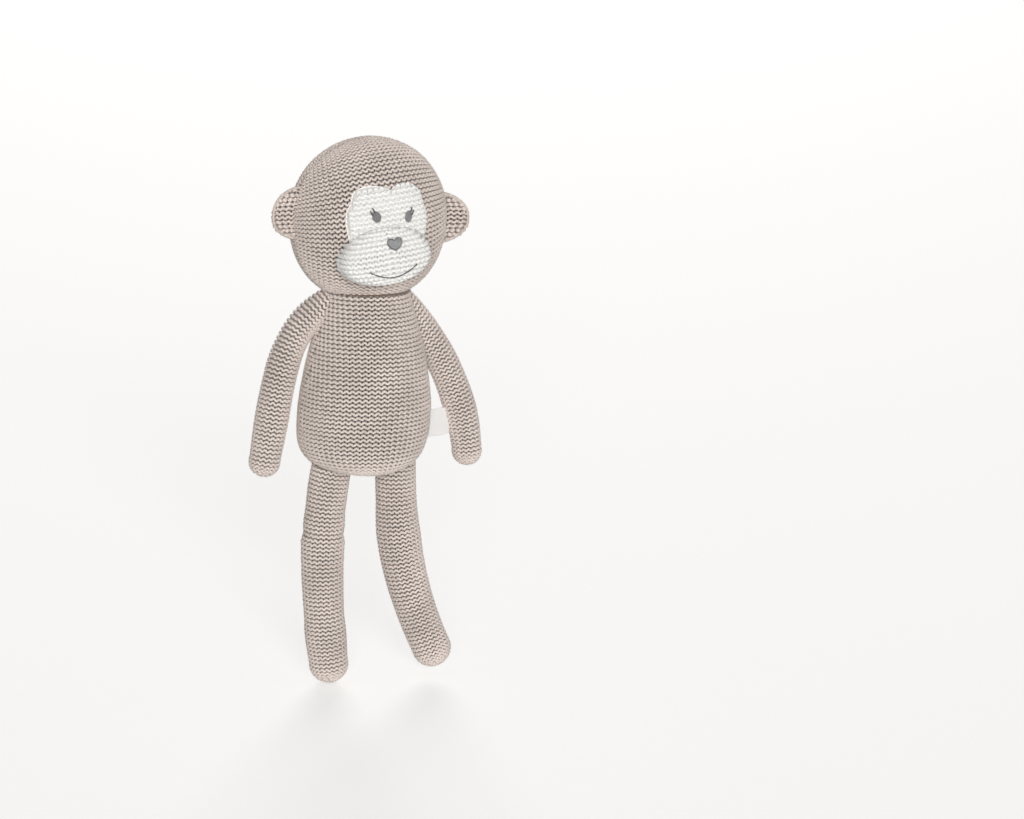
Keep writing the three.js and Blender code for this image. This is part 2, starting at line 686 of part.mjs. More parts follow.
function addEar(sideName, side, rise) {
  const ear = new THREE.Group();
  const foldReach = HEAD_HALF_WIDTH + SEW_GAP + EAR_PANEL + SEW_GAP / 2;
  ear.position.set(side * foldReach, -EAR_FORWARD, HEAD_HEIGHT + rise);
  ear.rotation.z = side > 0 ? 0 : Math.PI;
  monkey.add(ear);
  const front = addPiece(`${sideName}_ear_front`, earPanel(), greigeKnit());
  const back = addPiece(`${sideName}_ear_back`, earPanel(), greigeKnit());
  const turnedOver = side > 0 ? back : front;
  turnedOver.rotation.x = Math.PI;
  ear.add(front, back);
}

addEar("right", -1, RIGHT_EAR_RISE);
addEar("left", 1, LEFT_EAR_RISE);

// Arms: the root is drawn closed round a small opening that faces the torso

function addArm(sideName, side, limb) {
  const openingHeight = SHOULDER_HEIGHT - KNIT_WALL;
  const faceReach = torsoHalfWidth(openingHeight) + TURN_GAP;
  const opening = openingCut(ARM_OPENING_RADIUS);
  opening.rotateZ(Math.PI / 2).translate(side * (faceReach + KNIT_WALL / 2), ARM_SET_BACK, openingHeight);
  const hollow = limbForm(limb, -KNIT_WALL, LIMB_CORE_SIDES)
    .subtract(shoulderFace(side, TURN_GAP + KNIT_WALL));
  const cover = limbForm(limb, 0, LIMB_SIDES)
    .subtract(shoulderFace(side, TURN_GAP))
    .subtract(hollow)
    .subtract(toSolid(opening));
  const core = limbForm(limb, -KNIT_WALL - SEW_GAP, LIMB_CORE_SIDES)
    .subtract(shoulderFace(side, TURN_GAP + KNIT_WALL + SEW_GAP));
  addPiece(`${sideName}_arm_cover`, toGeometry(cover), greigeKnit());
  addPiece(`${sideName}_arm_stuffing`, toGeometry(core), filling());
  const thread = addPiece(`${sideName}_arm_gather_thread`, gatherThread(ARM_OPENING_RADIUS), sewingThread());
  thread.rotation.y = Math.PI / 2;
  thread.position.set(side * (faceReach + KNIT_WALL / 2), ARM_SET_BACK, openingHeight);
}

addArm("right", -1, arms.right);
addArm("left", 1, arms.left);

// Legs: the round top is drawn closed round a small opening under the torso

function addLeg(sideName, side, limb) {
  const top = HIP_HEIGHT + HIP_BALL_RADIUS;
  const opening = openingCut(LEG_OPENING_RADIUS);
  opening.rotateX(Math.PI / 2).translate(side * HIP_HALF_SPACING, HIP_SET_BACK, top - KNIT_WALL / 2);
  const cover = limbForm(limb, 0, LIMB_SIDES)
    .subtract(limbForm(limb, -KNIT_WALL, LIMB_CORE_SIDES))
    .subtract(toSolid(opening));
  const core = limbForm(limb, -KNIT_WALL - SEW_GAP, LIMB_CORE_SIDES);
  addPiece(`${sideName}_leg_cover`, toGeometry(cover), greigeKnit());
  addPiece(`${sideName}_leg_stuffing`, toGeometry(core), filling());
  const thread = addPiece(`${sideName}_leg_gather_thread`, gatherThread(LEG_OPENING_RADIUS), sewingThread());
  thread.position.set(side * HIP_HALF_SPACING, HIP_SET_BACK, top - KNIT_WALL / 2);
}

addLeg("right", -1, legs.right);
addLeg("left", 1, legs.left);

// Care label: a strip of tape that stands out of the left side seam
const seamCrest = torsoHalfWidth(LABEL_BOTTOM + LABEL_HEIGHT) + SEW_GAP + 2 * THREAD_RADIUS;
const labelSeat = seamCrest + SEW_GAP + LABEL_THICKNESS / 2;
const labelShape = new THREE.BoxGeometry(LABEL_WIDTH, LABEL_THICKNESS, LABEL_HEIGHT);
labelShape.translate(LABEL_WIDTH / 2, 0, LABEL_HEIGHT / 2);
const label = addPiece("care_label", labelShape, wovenTape());
label.position.set(labelSeat, 0, LABEL_BOTTOM);
label.rotation.z = LABEL_TURN;

monkey.position.set(0, -backFace, -BACK_HOLD_HEIGHT);

export default monkey;
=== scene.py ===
import json
import math
import bpy
import numpy as np
from mathutils import Matrix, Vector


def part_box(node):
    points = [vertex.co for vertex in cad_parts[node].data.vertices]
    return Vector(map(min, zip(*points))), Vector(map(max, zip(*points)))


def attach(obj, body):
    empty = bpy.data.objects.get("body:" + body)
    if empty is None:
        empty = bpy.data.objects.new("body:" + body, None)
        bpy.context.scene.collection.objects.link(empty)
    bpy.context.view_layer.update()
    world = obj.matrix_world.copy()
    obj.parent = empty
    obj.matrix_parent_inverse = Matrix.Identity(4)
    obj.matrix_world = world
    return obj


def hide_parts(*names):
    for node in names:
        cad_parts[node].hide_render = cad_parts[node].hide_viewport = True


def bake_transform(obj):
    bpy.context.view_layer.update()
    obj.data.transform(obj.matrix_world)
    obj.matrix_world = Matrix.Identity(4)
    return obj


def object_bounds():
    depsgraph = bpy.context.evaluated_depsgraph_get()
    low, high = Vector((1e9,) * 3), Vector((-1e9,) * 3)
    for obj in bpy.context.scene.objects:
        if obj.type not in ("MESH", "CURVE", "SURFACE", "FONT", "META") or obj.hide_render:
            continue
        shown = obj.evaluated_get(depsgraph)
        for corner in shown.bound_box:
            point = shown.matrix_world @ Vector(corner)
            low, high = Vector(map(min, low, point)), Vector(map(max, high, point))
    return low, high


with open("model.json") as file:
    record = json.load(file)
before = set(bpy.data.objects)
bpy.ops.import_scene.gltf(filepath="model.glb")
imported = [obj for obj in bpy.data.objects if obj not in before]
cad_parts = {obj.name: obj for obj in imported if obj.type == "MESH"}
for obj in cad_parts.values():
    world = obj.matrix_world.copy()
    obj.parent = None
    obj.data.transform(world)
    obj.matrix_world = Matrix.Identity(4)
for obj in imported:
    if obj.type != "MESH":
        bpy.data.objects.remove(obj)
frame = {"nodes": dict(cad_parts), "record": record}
cad_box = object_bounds()

# Torso cover: two panels of cotton knit with the purl side out, cut to an egg and sewn along both sides.
# Each course is one yarn that loops up and down through the courses next to it, and the filling behind
# it presses the cloth round. The back panel lies flat where the toy is held.
joint_places = {joint["name"]: joint["pos_m"] for joint in frame["record"]["behaviour"]["joints"]}
torso_low, torso_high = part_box("torso_cover")
torso_axis_y = joint_places["neck_turn"][1]
belly_half_width = (torso_high[0] - torso_low[0]) / 2 - 0.0008
belly_half_depth = torso_axis_y - torso_low[1]
seat_flat = 0.0005
seat_z = torso_low[2] - seat_flat
seat_lift = 0.0022
belly_z = seat_z + 0.042
neck_z = seat_z + 0.116
neck_radius = 0.026
collar_z = neck_z + 0.004
seat_side_fullness = 3.4
seat_front_fullness = 6.0
shoulder_fullness = 1.4
back_face_y = torso_high[1]
right_seam_angle = math.radians(-83.5)
left_seam_angle = math.radians(90.0)

STITCH_WIDTH = 0.00406
COURSE_HEIGHT = 0.00273
STITCH_POINTS = 10
TIGHTEST_STITCH = 0.66
LOOSEST_STITCH = 1.3
SEAM_WIDTH = 0.0030
SEAM_DEPTH = 0.0022
LINING_DEPTH = 0.0030
COURSE_SAMPLES = 721
NEARLY_ROUND = 6.0
DIVE_SHARPNESS = 1.6
LUMP_SCALE = 22.0
JITTER_SCALE = 260.0
GREIGE_LOOPS = {
    "Loop Height": 0.72 * COURSE_HEIGHT,
    "Loop Lean": 0.13 * STITCH_WIDTH,
    "Loop Depth": 0.00078,
    "Sink": 0.0014,
    "Yarn Radius": 0.00080,
    "Unevenness": 0.0005,
    "Swell": 0.0012,
    "Sides": 5,
}

GREIGE_LIGHT = (0.88, 0.77, 0.705)
GREIGE_SHADE = (0.62, 0.53, 0.478)
# Painted shade: a near-black greige for the bodies behind the knit, which stands for the shade between the
# stitches.
GREIGE_GAP_SHADE = (0.075, 0.06, 0.052)


def add_node(tree, kind, inputs=(), **settings):
    node = tree.nodes.new(kind)
    for name, value in settings.items():
        setattr(node, name, value)
    for name, value in dict(inputs).items():
        socket = node.inputs[name]
        if isinstance(value, bpy.types.NodeSocket):
            tree.links.new(value, socket)
        else:
            socket.default_value = value
    return node


def add_math(tree, operation, *values):
    node = add_node(tree, "ShaderNodeMath", dict(enumerate(values)), operation=operation)
    return node.outputs[0]


def plain_finish(name, settings):
    """A material with fixed values on its surface, its tree and that surface."""
    material = bpy.data.materials.new(name)
    material.use_nodes = True
    surface = material.node_tree.nodes["Principled BSDF"]
    for socket, value in settings.items():
        surface.inputs[socket].default_value = value
    return material, material.node_tree, surface


def add_noise(tree, scale, detail):
    place = add_node(tree, "ShaderNodeTexCoord").outputs["Object"]
    inputs = {"Vector": place, "Scale": scale, "Detail": detail}
    return add_node(tree, "ShaderNodeTexNoise", inputs).outputs[0]


def add_ramp(tree, tone, shade, light, low=0.0, high=1.0):
    ramp = add_node(tree, "ShaderNodeValToRGB", {"Fac": tone})
    for stop, position, colour in zip(ramp.color_ramp.elements, (low, high), (shade, light)):
        stop.position = position
        stop.color = (*colour, 1.0)
    return ramp.outputs["Color"]


def add_relief(tree, surface, height, strength, distance):
    bump = add_node(tree, "ShaderNodeBump", {"Height": height, "Strength": strength, "Distance": distance})
    tree.links.new(bump.outputs["Normal"], surface.inputs["Normal"])


def yarn_finish(name, light, shade, ply_turn=0.0042, dive_shade=0.78):
    """Spun cotton: two twisted plies, a speckle of lighter fibres, a soft sheen, and painted shade where it
    dives into the cloth.
    """
    fixed = {"Sheen Weight": 0.25, "Sheen Roughness": 0.6, "Specular IOR Level": 0.2}
    material, tree, surface = plain_finish(name, fixed)
    fibres = add_noise(tree, 1500.0, 4.0)
    speckle = add_math(tree, "MULTIPLY", fibres, 0.65)
    tone = add_math(tree, "MULTIPLY_ADD", add_noise(tree, 45.0, 2.0), 0.35, speckle)
    dyed = add_ramp(tree, tone, shade, light, 0.34, 0.62)
    # Painted shade: the colour darkens where the yarn dives between the stitches.
    dive = add_node(tree, "ShaderNodeAttribute", attribute_name="dive").outputs["Fac"]
    left = add_math(tree, "MULTIPLY_ADD", dive, -dive_shade, 1.0)
    colour = add_node(tree, "ShaderNodeVectorMath", {0: dyed, "Scale": left}, operation="SCALE")
    tree.links.new(colour.outputs[0], surface.inputs["Base Color"])
    rough = add_node(tree, "ShaderNodeMapRange", {"Value": fibres, "To Min": 0.82, "To Max": 0.98})
    tree.links.new(rough.outputs["Result"], surface.inputs["Roughness"])
    around = add_node(tree, "ShaderNodeAttribute", attribute_name="ply").outputs["Vector"]
    side = add_node(tree, "ShaderNodeSeparateXYZ", {0: around}).outputs
    angle = add_math(tree, "ARCTAN2", side[1], side[0])
    along = add_node(tree, "ShaderNodeAttribute", attribute_name="along").outputs["Fac"]
    turn = add_math(tree, "MULTIPLY", along, 2 * math.tau / ply_turn)
    plies = add_math(tree, "SINE", add_math(tree, "MULTIPLY_ADD", angle, 2.0, turn))
    add_relief(tree, surface, add_math(tree, "MULTIPLY_ADD", plies, 0.35, fibres), 0.5, 0.0002)
    return material


def gap_shade_finish(name, colour):
    """A matted-fibre look behind the stitches, in a colour that is painted shade between them."""
    material, tree, surface = plain_finish(name, {"Roughness": 1.0, "Specular IOR Level": 0.05})
    mat = add_noise(tree, 420.0, 5.0)
    dim = [0.7 * part for part in colour]
    tree.links.new(add_ramp(tree, mat, dim, colour), surface.inputs["Base Color"])
    add_relief(tree, surface, mat, 0.6, 0.0004)
    return material


def knit_tree():
    """Courses come in as lines; each is bent into loops, spun into a yarn of round section and coloured."""
    tree = bpy.data.node_groups.new("knit", "GeometryNodeTree")
    sizes = ["Loop Height", "Loop Lean", "Loop Depth", "Sink", "Yarn Radius", "Unevenness", "Swell", "Seed"]
    kinds = {"Geometry": "Geometry"} | dict.fromkeys(sizes, "Float") | {"Sides": "Int", "Yarn": "Material"}
    for name, kind in kinds.items():
        tree.interface.new_socket(name, in_out="INPUT", socket_type=f"NodeSocket{kind}")
    tree.interface.new_socket("Geometry", in_out="OUTPUT", socket_type="NodeSocketGeometry")
    given = add_node(tree, "NodeGroupInput").outputs

    def made(kind, inputs=(), **settings):
        return add_node(tree, kind, inputs, **settings).outputs[0]

    def worked(operation, *values):
        return add_math(tree, operation, *values)

    def named(name, kind):
        return made("GeometryNodeInputNamedAttribute", {"Name": name}, data_type=kind)

    def stored(geometry, name, kind, value):
        inputs = {"Geometry": geometry, "Name": name, "Value": value}
        return made("GeometryNodeStoreNamedAttribute", inputs, data_type=kind, domain="POINT")

    def vector(operation, first, second):
        return made("ShaderNodeVectorMath", {0: first, 1: second}, operation=operation)

    def scaled(arrow, factor):
        return made("ShaderNodeVectorMath", {0: arrow, "Scale": factor}, operation="SCALE")

    def noise(scale):
        inputs = {"Vector": here, "W": given["Seed"], "Scale": scale, "Detail": 1.0}
        return add_node(tree, "ShaderNodeTexNoise", inputs, noise_dimensions="4D").outputs

    line = made("GeometryNodeMeshToCurve", {"Mesh": given["Geometry"]})
    here = made("GeometryNodeInputPosition")
    phase = named("phase", "FLOAT")
    double = worked("MULTIPLY", phase, 2.0)
    rise = worked("MULTIPLY", worked("COSINE", phase), given["Loop Height"])
    wide = worked("MULTIPLY", named("wide", "FLOAT"), given["Loop Lean"])
    lean = worked("MULTIPLY", worked("SINE", double), wide)
    dip = worked("MULTIPLY_ADD", worked("COSINE", double), -0.5, 0.5)
    dive = worked("POWER", dip, DIVE_SHARPNESS)
    swing = worked("MULTIPLY_ADD", dive, -2.0, 1.0)
    depth = worked("SUBTRACT", worked("MULTIPLY", swing, given["Loop Depth"]), given["Sink"])
    lumps = worked("SUBTRACT", noise(LUMP_SCALE)[0], 0.5)
    depth = worked("MULTIPLY_ADD", lumps, given["Swell"], depth)
    jitter = scaled(vector("SUBTRACT", noise(JITTER_SCALE)[1], (0.5, 0.5, 0.5)), given["Unevenness"])
    up_wale = scaled(named("wale", "FLOAT_VECTOR"), rise)
    along_course = scaled(made("GeometryNodeInputTangent"), lean)
    outward = vector("ADD", scaled(named("outward", "FLOAT_VECTOR"), depth), jitter)
    offset = vector("ADD", vector("ADD", up_wale, along_course), outward)
    # The dive share is stored for the yarn's material, which paints shade where the yarn dives into the
    # cloth.
    line = stored(line, "dive", "FLOAT", dive)
    line = made("GeometryNodeSetPosition", {"Geometry": line, "Offset": offset})
    length = add_node(tree, "GeometryNodeSplineParameter").outputs["Length"]
    line = stored(line, "along", "FLOAT", length)
    ring = {"Resolution": given["Sides"], "Radius": given["Yarn Radius"]}
    way = made("ShaderNodeVectorMath", {0: here}, operation="NORMALIZE")
    section = stored(made("GeometryNodeCurvePrimitiveCircle", ring), "ply", "FLOAT_VECTOR", way)
    spun = {"Curve": line, "Profile Curve": section, "Fill Caps": True}
    yarn = made("GeometryNodeSetShadeSmooth", {"Geometry": made("GeometryNodeCurveToMesh", spun)})
    yarn = made("GeometryNodeRealizeInstances", {"Geometry": yarn})
    yarn = made("GeometryNodeSetMaterial", {"Geometry": yarn, "Material": given["Yarn"]})
    add_node(tree, "NodeGroupOutput", {"Geometry": yarn})
    return tree


def stretch(surface, row, across):
    """How far a form moves for a small step from row to row."""
    step_up = 0.0002
    return (surface(row + step_up, across) - surface(row - step_up, across)) / (2 * step_up)


def unit(arrows):
    return arrows / np.linalg.norm(arrows, axis=-1, keepdims=True)


def placed(surface, row, across):
    """Points of a form and the way that its outside faces there."""
    step_across = 0.001
    sideways = surface(row, across + step_across) - surface(row, across - step_across)
    return surface(row, across), unit(np.cross(sideways, stretch(surface, row, across)))


def wale_counts(lengths, stitch, gathered, closed):
    """Stitches in each course. Gathered courses keep the number of the course before while it fits."""
    counts = lengths / stitch
    if closed:
        counts = np.maximum(np.round(counts), 3)
    widest = int(np.argmax(lengths))
    for way in (range(widest + 1, len(lengths)), range(widest - 1, -1, -1)):
        before = counts[widest]
        for course in way:
            share = lengths[course] / stitch / before
            if gathered[course] and TIGHTEST_STITCH < share < LOOSEST_STITCH:
                counts[course] = before
            before = counts[course]
    return counts


def chain(first, count):
    """The edges of a line of points, numbered from its first."""
    index = np.arange(first, first + count)
    return np.stack([index[:-1], index[1:]], -1)


def lay_courses(surface, rows, span, middle=0.0, stitch=STITCH_WIDTH, gathered=None, keep=None, edge=None,
                sink=SEAM_DEPTH, flat=False):
    """Lines of knitting on a form, with stitches counted from its middle line and sewn edges turned under.
    A flat panel was knitted before it was shaped, so its stitches are counted on the flat, and where it is
    stretched or crowded its loops are too."""
    across = np.linspace(*span, COURSE_SAMPLES)
    lines = [surface(row, across) for row in rows]
    steps = [np.diff(across) if flat else np.linalg.norm(np.diff(line, axis=0), axis=1) for line in lines]
    arcs = [np.concatenate([[0.0], np.cumsum(step)]) for step in steps]
    lengths = np.array([arc[-1] for arc in arcs])
    if gathered is None:
        gathered = np.ones(len(rows), bool)
    counts = wale_counts(lengths, stitch, gathered, span[1] - span[0] > NEARLY_ROUND)
    points, outward, wale, phase, wide, edges = parts = [[] for _ in range(6)]
    total = 0
    for row, line, arc, count in zip(rows, lines, arcs, counts):
        step = arc[-1] / (count * STITCH_POINTS)
        start = np.interp(middle, across, arc)
        kept = np.ones(len(across), bool) if keep is None else keep(line, across)
        turns = np.flatnonzero(np.diff(np.concatenate([[0], kept.astype(int), [0]])))
        for first, after in zip(turns[::2], turns[1::2]):
            low, high = arc[first] - start, arc[after - 1] - start
            marks = np.arange(math.ceil(low / step - 1e-6), math.floor(high / step + 1e-6) + 1)
            if len(marks) < STITCH_POINTS:
                continue
            places = np.interp(marks * step, arc - start, across)
            spots, faces = placed(surface, row, places)
            way = np.gradient(spots, axis=0)
            pitch = np.linalg.norm(way, axis=-1)
            wale.append(stretch(surface, row, places) if flat else np.cross(faces, way / pitch[:, None]))
            wide.append(pitch * STITCH_POINTS / stitch)
            distance = np.minimum(marks * step + start, arc[-1] - start - marks * step)
            if edge is not None:
                distance = edge(spots)
            tuck = 1 - np.clip(distance / SEAM_WIDTH, 0.0, 1.0)
            points.append(spots - faces * (sink * (1 - np.sqrt(1 - tuck ** 2)))[:, None])
            outward.append(faces)
            phase.append(math.tau * marks / STITCH_POINTS)
            edges.append(chain(total, len(marks)))
            total += len(marks)
    return [np.concatenate(part) for part in parts]


def as_object(name, points, edges=(), faces=()):
    mesh = bpy.data.meshes.new(name)
    corners = [list(face) for face in faces]
    mesh.from_pydata(np.asarray(points).tolist(), np.asarray(edges).tolist(), corners)
    piece = bpy.data.objects.new(name, mesh)
    bpy.context.scene.collection.objects.link(piece)
    return piece


def baked(piece, tree, sizes):
    """The tree's result as a plain mesh, with the modifier gone."""
    modifier = piece.modifiers.new(tree.name, "NODES")
    modifier.node_group = tree
    for socket in tree.interface.items_tree:
        if socket.in_out == "INPUT" and socket.name in sizes:
            modifier[socket.identifier] = sizes[socket.name]
    graph = bpy.context.evaluated_depsgraph_get()
    mesh = bpy.data.meshes.new_from_object(piece.evaluated_get(graph))
    piece.modifiers.clear()
    piece.data = mesh
    return piece


knitting = knit_tree()


def knitted(name, courses, yarn, seed, loops=GREIGE_LOOPS):
    points, outward, wale, phase, wide, edges = courses
    piece = as_object(name, points, edges)
    for attribute, values in (("phase", phase), ("wide", wide)):
        piece.data.attributes.new(attribute, "FLOAT", "POINT").data.foreach_set("value", values)
    for attribute, values in (("outward", outward), ("wale", wale)):
        arrows = piece.data.attributes.new(attribute, "FLOAT_VECTOR", "POINT")
        arrows.data.foreach_set("vector", values.ravel())
    return baked(piece, knitting, loops | {"Seed": seed, "Yarn": yarn})


def tube_faces(rings, sides):
    """The faces between rings of points, each ring joined to the next."""
    faces = []
    for start in range(0, (rings - 1) * sides, sides):
        for side in range(sides):
            here, there = start + side, start + (side + 1) % sides
            faces.append((here, there, there + sides, here + sides))
    return faces


def filled_form(name, surface, rows, across, material, depth=LINING_DEPTH):
    """The closed body of filling under a cover, round from row to row and drawn to a point at each end."""
    rings = []
    for row in rows:
        points, outward = placed(surface, row, across)
        rings.append(points - depth * outward)
    sides = len(across)
    points = np.concatenate(rings + [rings[0].mean(0)[None], rings[-1].mean(0)[None]])
    faces = tube_faces(len(rings), sides)
    low_tip, high_tip = len(points) - 2, len(points) - 1
    top = (len(rings) - 1) * sides
    for side in range(sides):
        faces.append((low_tip, (side + 1) % sides, side))
        faces.append((high_tip, top + side, top + (side + 1) % sides))
    piece = as_object(name, points, (), faces)
    piece.data.materials.append(material)
    piece.data.shade_smooth()
    return piece


def outline_lengths(radius, height):
    return np.concatenate([[0.0], np.cumsum(np.hypot(np.diff(radius), np.diff(height)))])


quarter = math.pi / 2
seat_angles = np.linspace(0, quarter, 120)
seat_depth = belly_half_depth * np.sin(seat_angles) ** (2 / seat_front_fullness)
seat_drop = np.cos(seat_angles) ** (2 / seat_front_fullness)
seat_width = belly_half_width * (1 - seat_drop ** seat_side_fullness) ** (1 / seat_side_fullness)
seat_height = belly_z - (belly_z - seat_z - seat_lift) * seat_drop
side_height = np.linspace(belly_z, collar_z, 160)[1:]
side_rise = (side_height - belly_z) / (neck_z - belly_z)
side_width = belly_half_width - (belly_half_width - neck_radius) * side_rise ** shoulder_fullness
side_depth = side_width * np.interp(side_rise, [0, 1], [belly_half_depth / belly_half_width, 1])
torso_width = np.concatenate([seat_width, side_width])
torso_depth = np.concatenate([seat_depth, side_depth])
torso_height = np.concatenate([seat_height, side_height])
torso_lengths = outline_lengths(torso_depth, torso_height)
torso_rise = torso_lengths[-1]
torso_rows = np.arange(0.0016, torso_rise, COURSE_HEIGHT)
below_belly = np.interp(torso_rows, torso_lengths, torso_height) < belly_z


def torso_push(z):
    return np.interp(z - seat_z, [0.0, 0.020, 0.046, 0.080], [-0.0034, -0.0027, -0.0009, 0.0])


def torso_surface(row, across):
    """The egg, with its lower end pushed a little to the toy's right and its back pressed flat."""
    z = np.interp(row, torso_lengths, torso_height)
    x = torso_push(z) + np.interp(row, torso_lengths, torso_width) * np.sin(across)
    y = torso_axis_y - np.interp(row, torso_lengths, torso_depth) * np.cos(across)
    return np.stack([x, np.minimum(y, back_face_y), z + 0 * across], -1)


greige_yarn = yarn_finish("greige_cotton_yarn", GREIGE_LIGHT, GREIGE_SHADE)
knit_shade = gap_shade_finish("greige_filling_shade", GREIGE_GAP_SHADE)
front_span = (right_seam_angle, left_seam_angle)
back_span = (left_seam_angle, right_seam_angle + math.tau)
front_courses = lay_courses(torso_surface, torso_rows, front_span, gathered=below_belly)
back_courses = lay_courses(torso_surface, torso_rows, back_span, math.pi, gathered=below_belly)
torso_front = knitted("torso_front_panel", front_courses, greige_yarn, seed=1.0)
torso_back = knitted("torso_back_panel", back_courses, greige_yarn, seed=2.0)
full_turn = np.linspace(0, math.tau, 72, endpoint=False)
filling_rows = np.linspace(0.0012, torso_rise, 60)
# The torso's filling is painted shade: its dark colour shows only between the stitches.
torso_filling = filled_form("torso_filling", torso_surface, filling_rows, full_turn, knit_shade)
for piece in (torso_front, torso_back, torso_filling):
    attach(piece, "torso")
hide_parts("torso_cover")
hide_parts("torso_stuffing")

# Side seams: one thread sews the two torso panels edge to edge, from the seat up to the armpit.
# It shows as a column of short slanting stitches that sink into the groove between the panels.
THREAD_RADIUS = 0.00042
SEAM_STITCH = 0.0030
SEAM_SLANT = 0.0011
SEAM_LIFT = 0.0009
SEAM_SINK = 0.0015
THREAD_PLY_TURN = 0.0020
seam_thread = yarn_finish("greige_sewing_thread", (0.80, 0.70, 0.64), (0.64, 0.555, 0.50), THREAD_PLY_TURN)


def stitched(name, lines, thread, radius, seed=0.0, unevenness=0.0002, sides=5):
    """Threads laid on the cloth, each along a line of points."""
    starts = np.cumsum([0] + [len(points) for points in lines])
    edges = [chain(first, len(points)) for first, points in zip(starts, lines)]
    piece = as_object(name, np.concatenate(lines), np.concatenate(edges))
    straight = {"Loop Height": 0.0, "Loop Lean": 0.0, "Loop Depth": 0.0, "Sink": 0.0, "Swell": 0.0}
    thick = {"Yarn Radius": radius, "Unevenness": unevenness, "Sides": sides}
    return baked(piece, knitting, straight | thick | {"Seed": seed, "Yarn": thread})


for side_name, seam_angle in (("right", right_seam_angle), ("left", left_seam_angle)):
    node = f"torso_{side_name}_side_seam"
    seam_low, seam_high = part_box(node)
    first_row = np.interp(seam_low[2], torso_height, torso_lengths)
    last_row = np.interp(seam_high[2], torso_height, torso_lengths)
    share = np.linspace(0, 1, 7)
    across = seam_angle + (share - 0.5) * 2 * SEAM_SLANT / belly_half_width
    lift = np.sin(share * math.pi) * SEAM_LIFT - SEAM_SINK
    stitches = []
    for row in np.arange(first_row, last_row, SEAM_STITCH):
        spots, faces = placed(torso_surface, row + share * SEAM_STITCH, across)
        stitches.append(spots + faces * lift[:, None])
    seam = stitched(f"torso_{side_name}_seam_stitches", stitches, seam_thread, THREAD_RADIUS, seed=3.0)
    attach(seam, "torso")
    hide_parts(node)

# Neck join: a dark brown thread, wound round the neck end of the torso where the head sits on the shoulders,
# is partly a real sewing thread and partly painted shade in the crease there.
crease_radius = 0.0007
crease_thread = yarn_finish("brown_sewing_thread", (0.20, 0.14, 0.105), (0.11, 0.075, 0.055),
                            THREAD_PLY_TURN)
crease_row = np.interp(neck_z, torso_height, torso_lengths)
crease_line = torso_surface(crease_row, np.linspace(0, math.tau, 120))
neck_crease = stitched("neck_crease_thread", [crease_line], crease_thread, crease_radius, seed=3.0)
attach(neck_crease, "torso")

# Drawn threads: the same sewing thread, pulled tight in the neck end of the torso and in the root of each
# limb. They keep their modelled rings and lie hidden where the parts meet.
for name, node in frame["nodes"].items():
    if name.endswith("gather_thread"):
        node.data.materials.clear()
        node.data.materials.append(seam_thread)

# Legs: knitted tubes, closed round at the foot, filled and sewn to the torso's underside across the top.
# The right one hangs nearly straight with a fold across the thigh, and the left one bends outwards. A dark
# brown thread, laid where each meets the seat, is painted shade in the crease there.
hip_spacing, hip_y, hip_z = joint_places["left_leg_swing"]
hip_radius = 0.014
leg_lead = 0.016
leg_first_row = 0.004
foot_radius = 0.0126
right_foot_drop = 0.138
left_foot_drop = 0.130


def curve(*controls, steps=14):
    """Points of a curve through its first and last control point."""
    share = np.linspace(0, 1, steps)[:, None]
    order = len(controls) - 1
    weights = [math.comb(order, i) * (1 - share) ** (order - i) * share ** i for i in range(order + 1)]
    return sum(weight * np.array(point) for weight, point in zip(weights, controls))


def limb_cover(path, stops, tip_radius, lead):
    """A tube along a bent line, with stops of (place, radius), a straight start and a round tip."""
    line = curve(*path, steps=400)
    way = (line[0] - line[1]) / np.linalg.norm(line[0] - line[1])
    line = np.concatenate([np.linspace(line[0] + lead * way, line[0], 40, endpoint=False), line])
    place = np.concatenate([[0.0], np.cumsum(np.linalg.norm(np.diff(line, axis=0), axis=1))]) - lead
    tip = place[-1] - tip_radius
    places = np.array([spot for spot, _ in stops] + [tip])
    radii = np.array([radius for _, radius in stops] + [tip_radius])
    end = tip + tip_radius * np.sin(np.linspace(0, quarter, 80)[1:])
    spots = np.concatenate([np.linspace(-lead, tip, 300), end])
    span = np.clip(np.searchsorted(places, spots, side="right") - 1, 0, len(places) - 2)
    ease = np.clip((spots - places[span]) / (places[span + 1] - places[span]), 0, 1)
    radius = radii[span] + (radii[span + 1] - radii[span]) * ease * ease * (3 - 2 * ease)
    past = np.clip(spots - tip, 0, tip_radius)
    radius = np.where(past > 0, np.sqrt(np.clip(tip_radius ** 2 - past ** 2, 0, None)), radius)
    rise = outline_lengths(radius, spots)
    tangents = np.gradient(line, place, axis=0)

    def at(values, spot):
        return np.stack([np.interp(spot, place, values[:, axis]) for axis in range(3)], -1)

    def surface(row, across):
        row = row + 0 * across
        spot = np.interp(row, rise, spots)
        out = np.interp(row, rise, radius)[:, None]
        along = unit(at(tangents, spot))
        front = unit(np.array([0.0, -1.0, 0.0]) + along * along[:, 1:2])
        aside = np.cross(along, front)
        return at(line, spot) + out * (np.cos(across)[:, None] * front + np.sin(across)[:, None] * aside)

    return surface, rise[-1]


def add_limb(name, cover, first_row, seed, middle=0.0):
    """A limb's knit and filling."""
    surface, rise = cover
    last_row = rise - 0.0008
    rows = np.append(np.arange(first_row, last_row - COURSE_HEIGHT / 2, COURSE_HEIGHT), last_row)
    courses = lay_courses(surface, rows, (-math.pi, math.pi), middle)
    knit = knitted(f"{name}_knit", courses, greige_yarn, seed)
    filling_rows = np.linspace(first_row, last_row, 60)
    # The limb's filling is painted shade between the stitches.
    filling = filled_form(f"{name}_filling", surface, filling_rows, full_turn[::2], knit_shade)
    for piece in (knit, filling):
        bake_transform(piece)
    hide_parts(f"{name}_cover")
    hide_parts(f"{name}_stuffing")


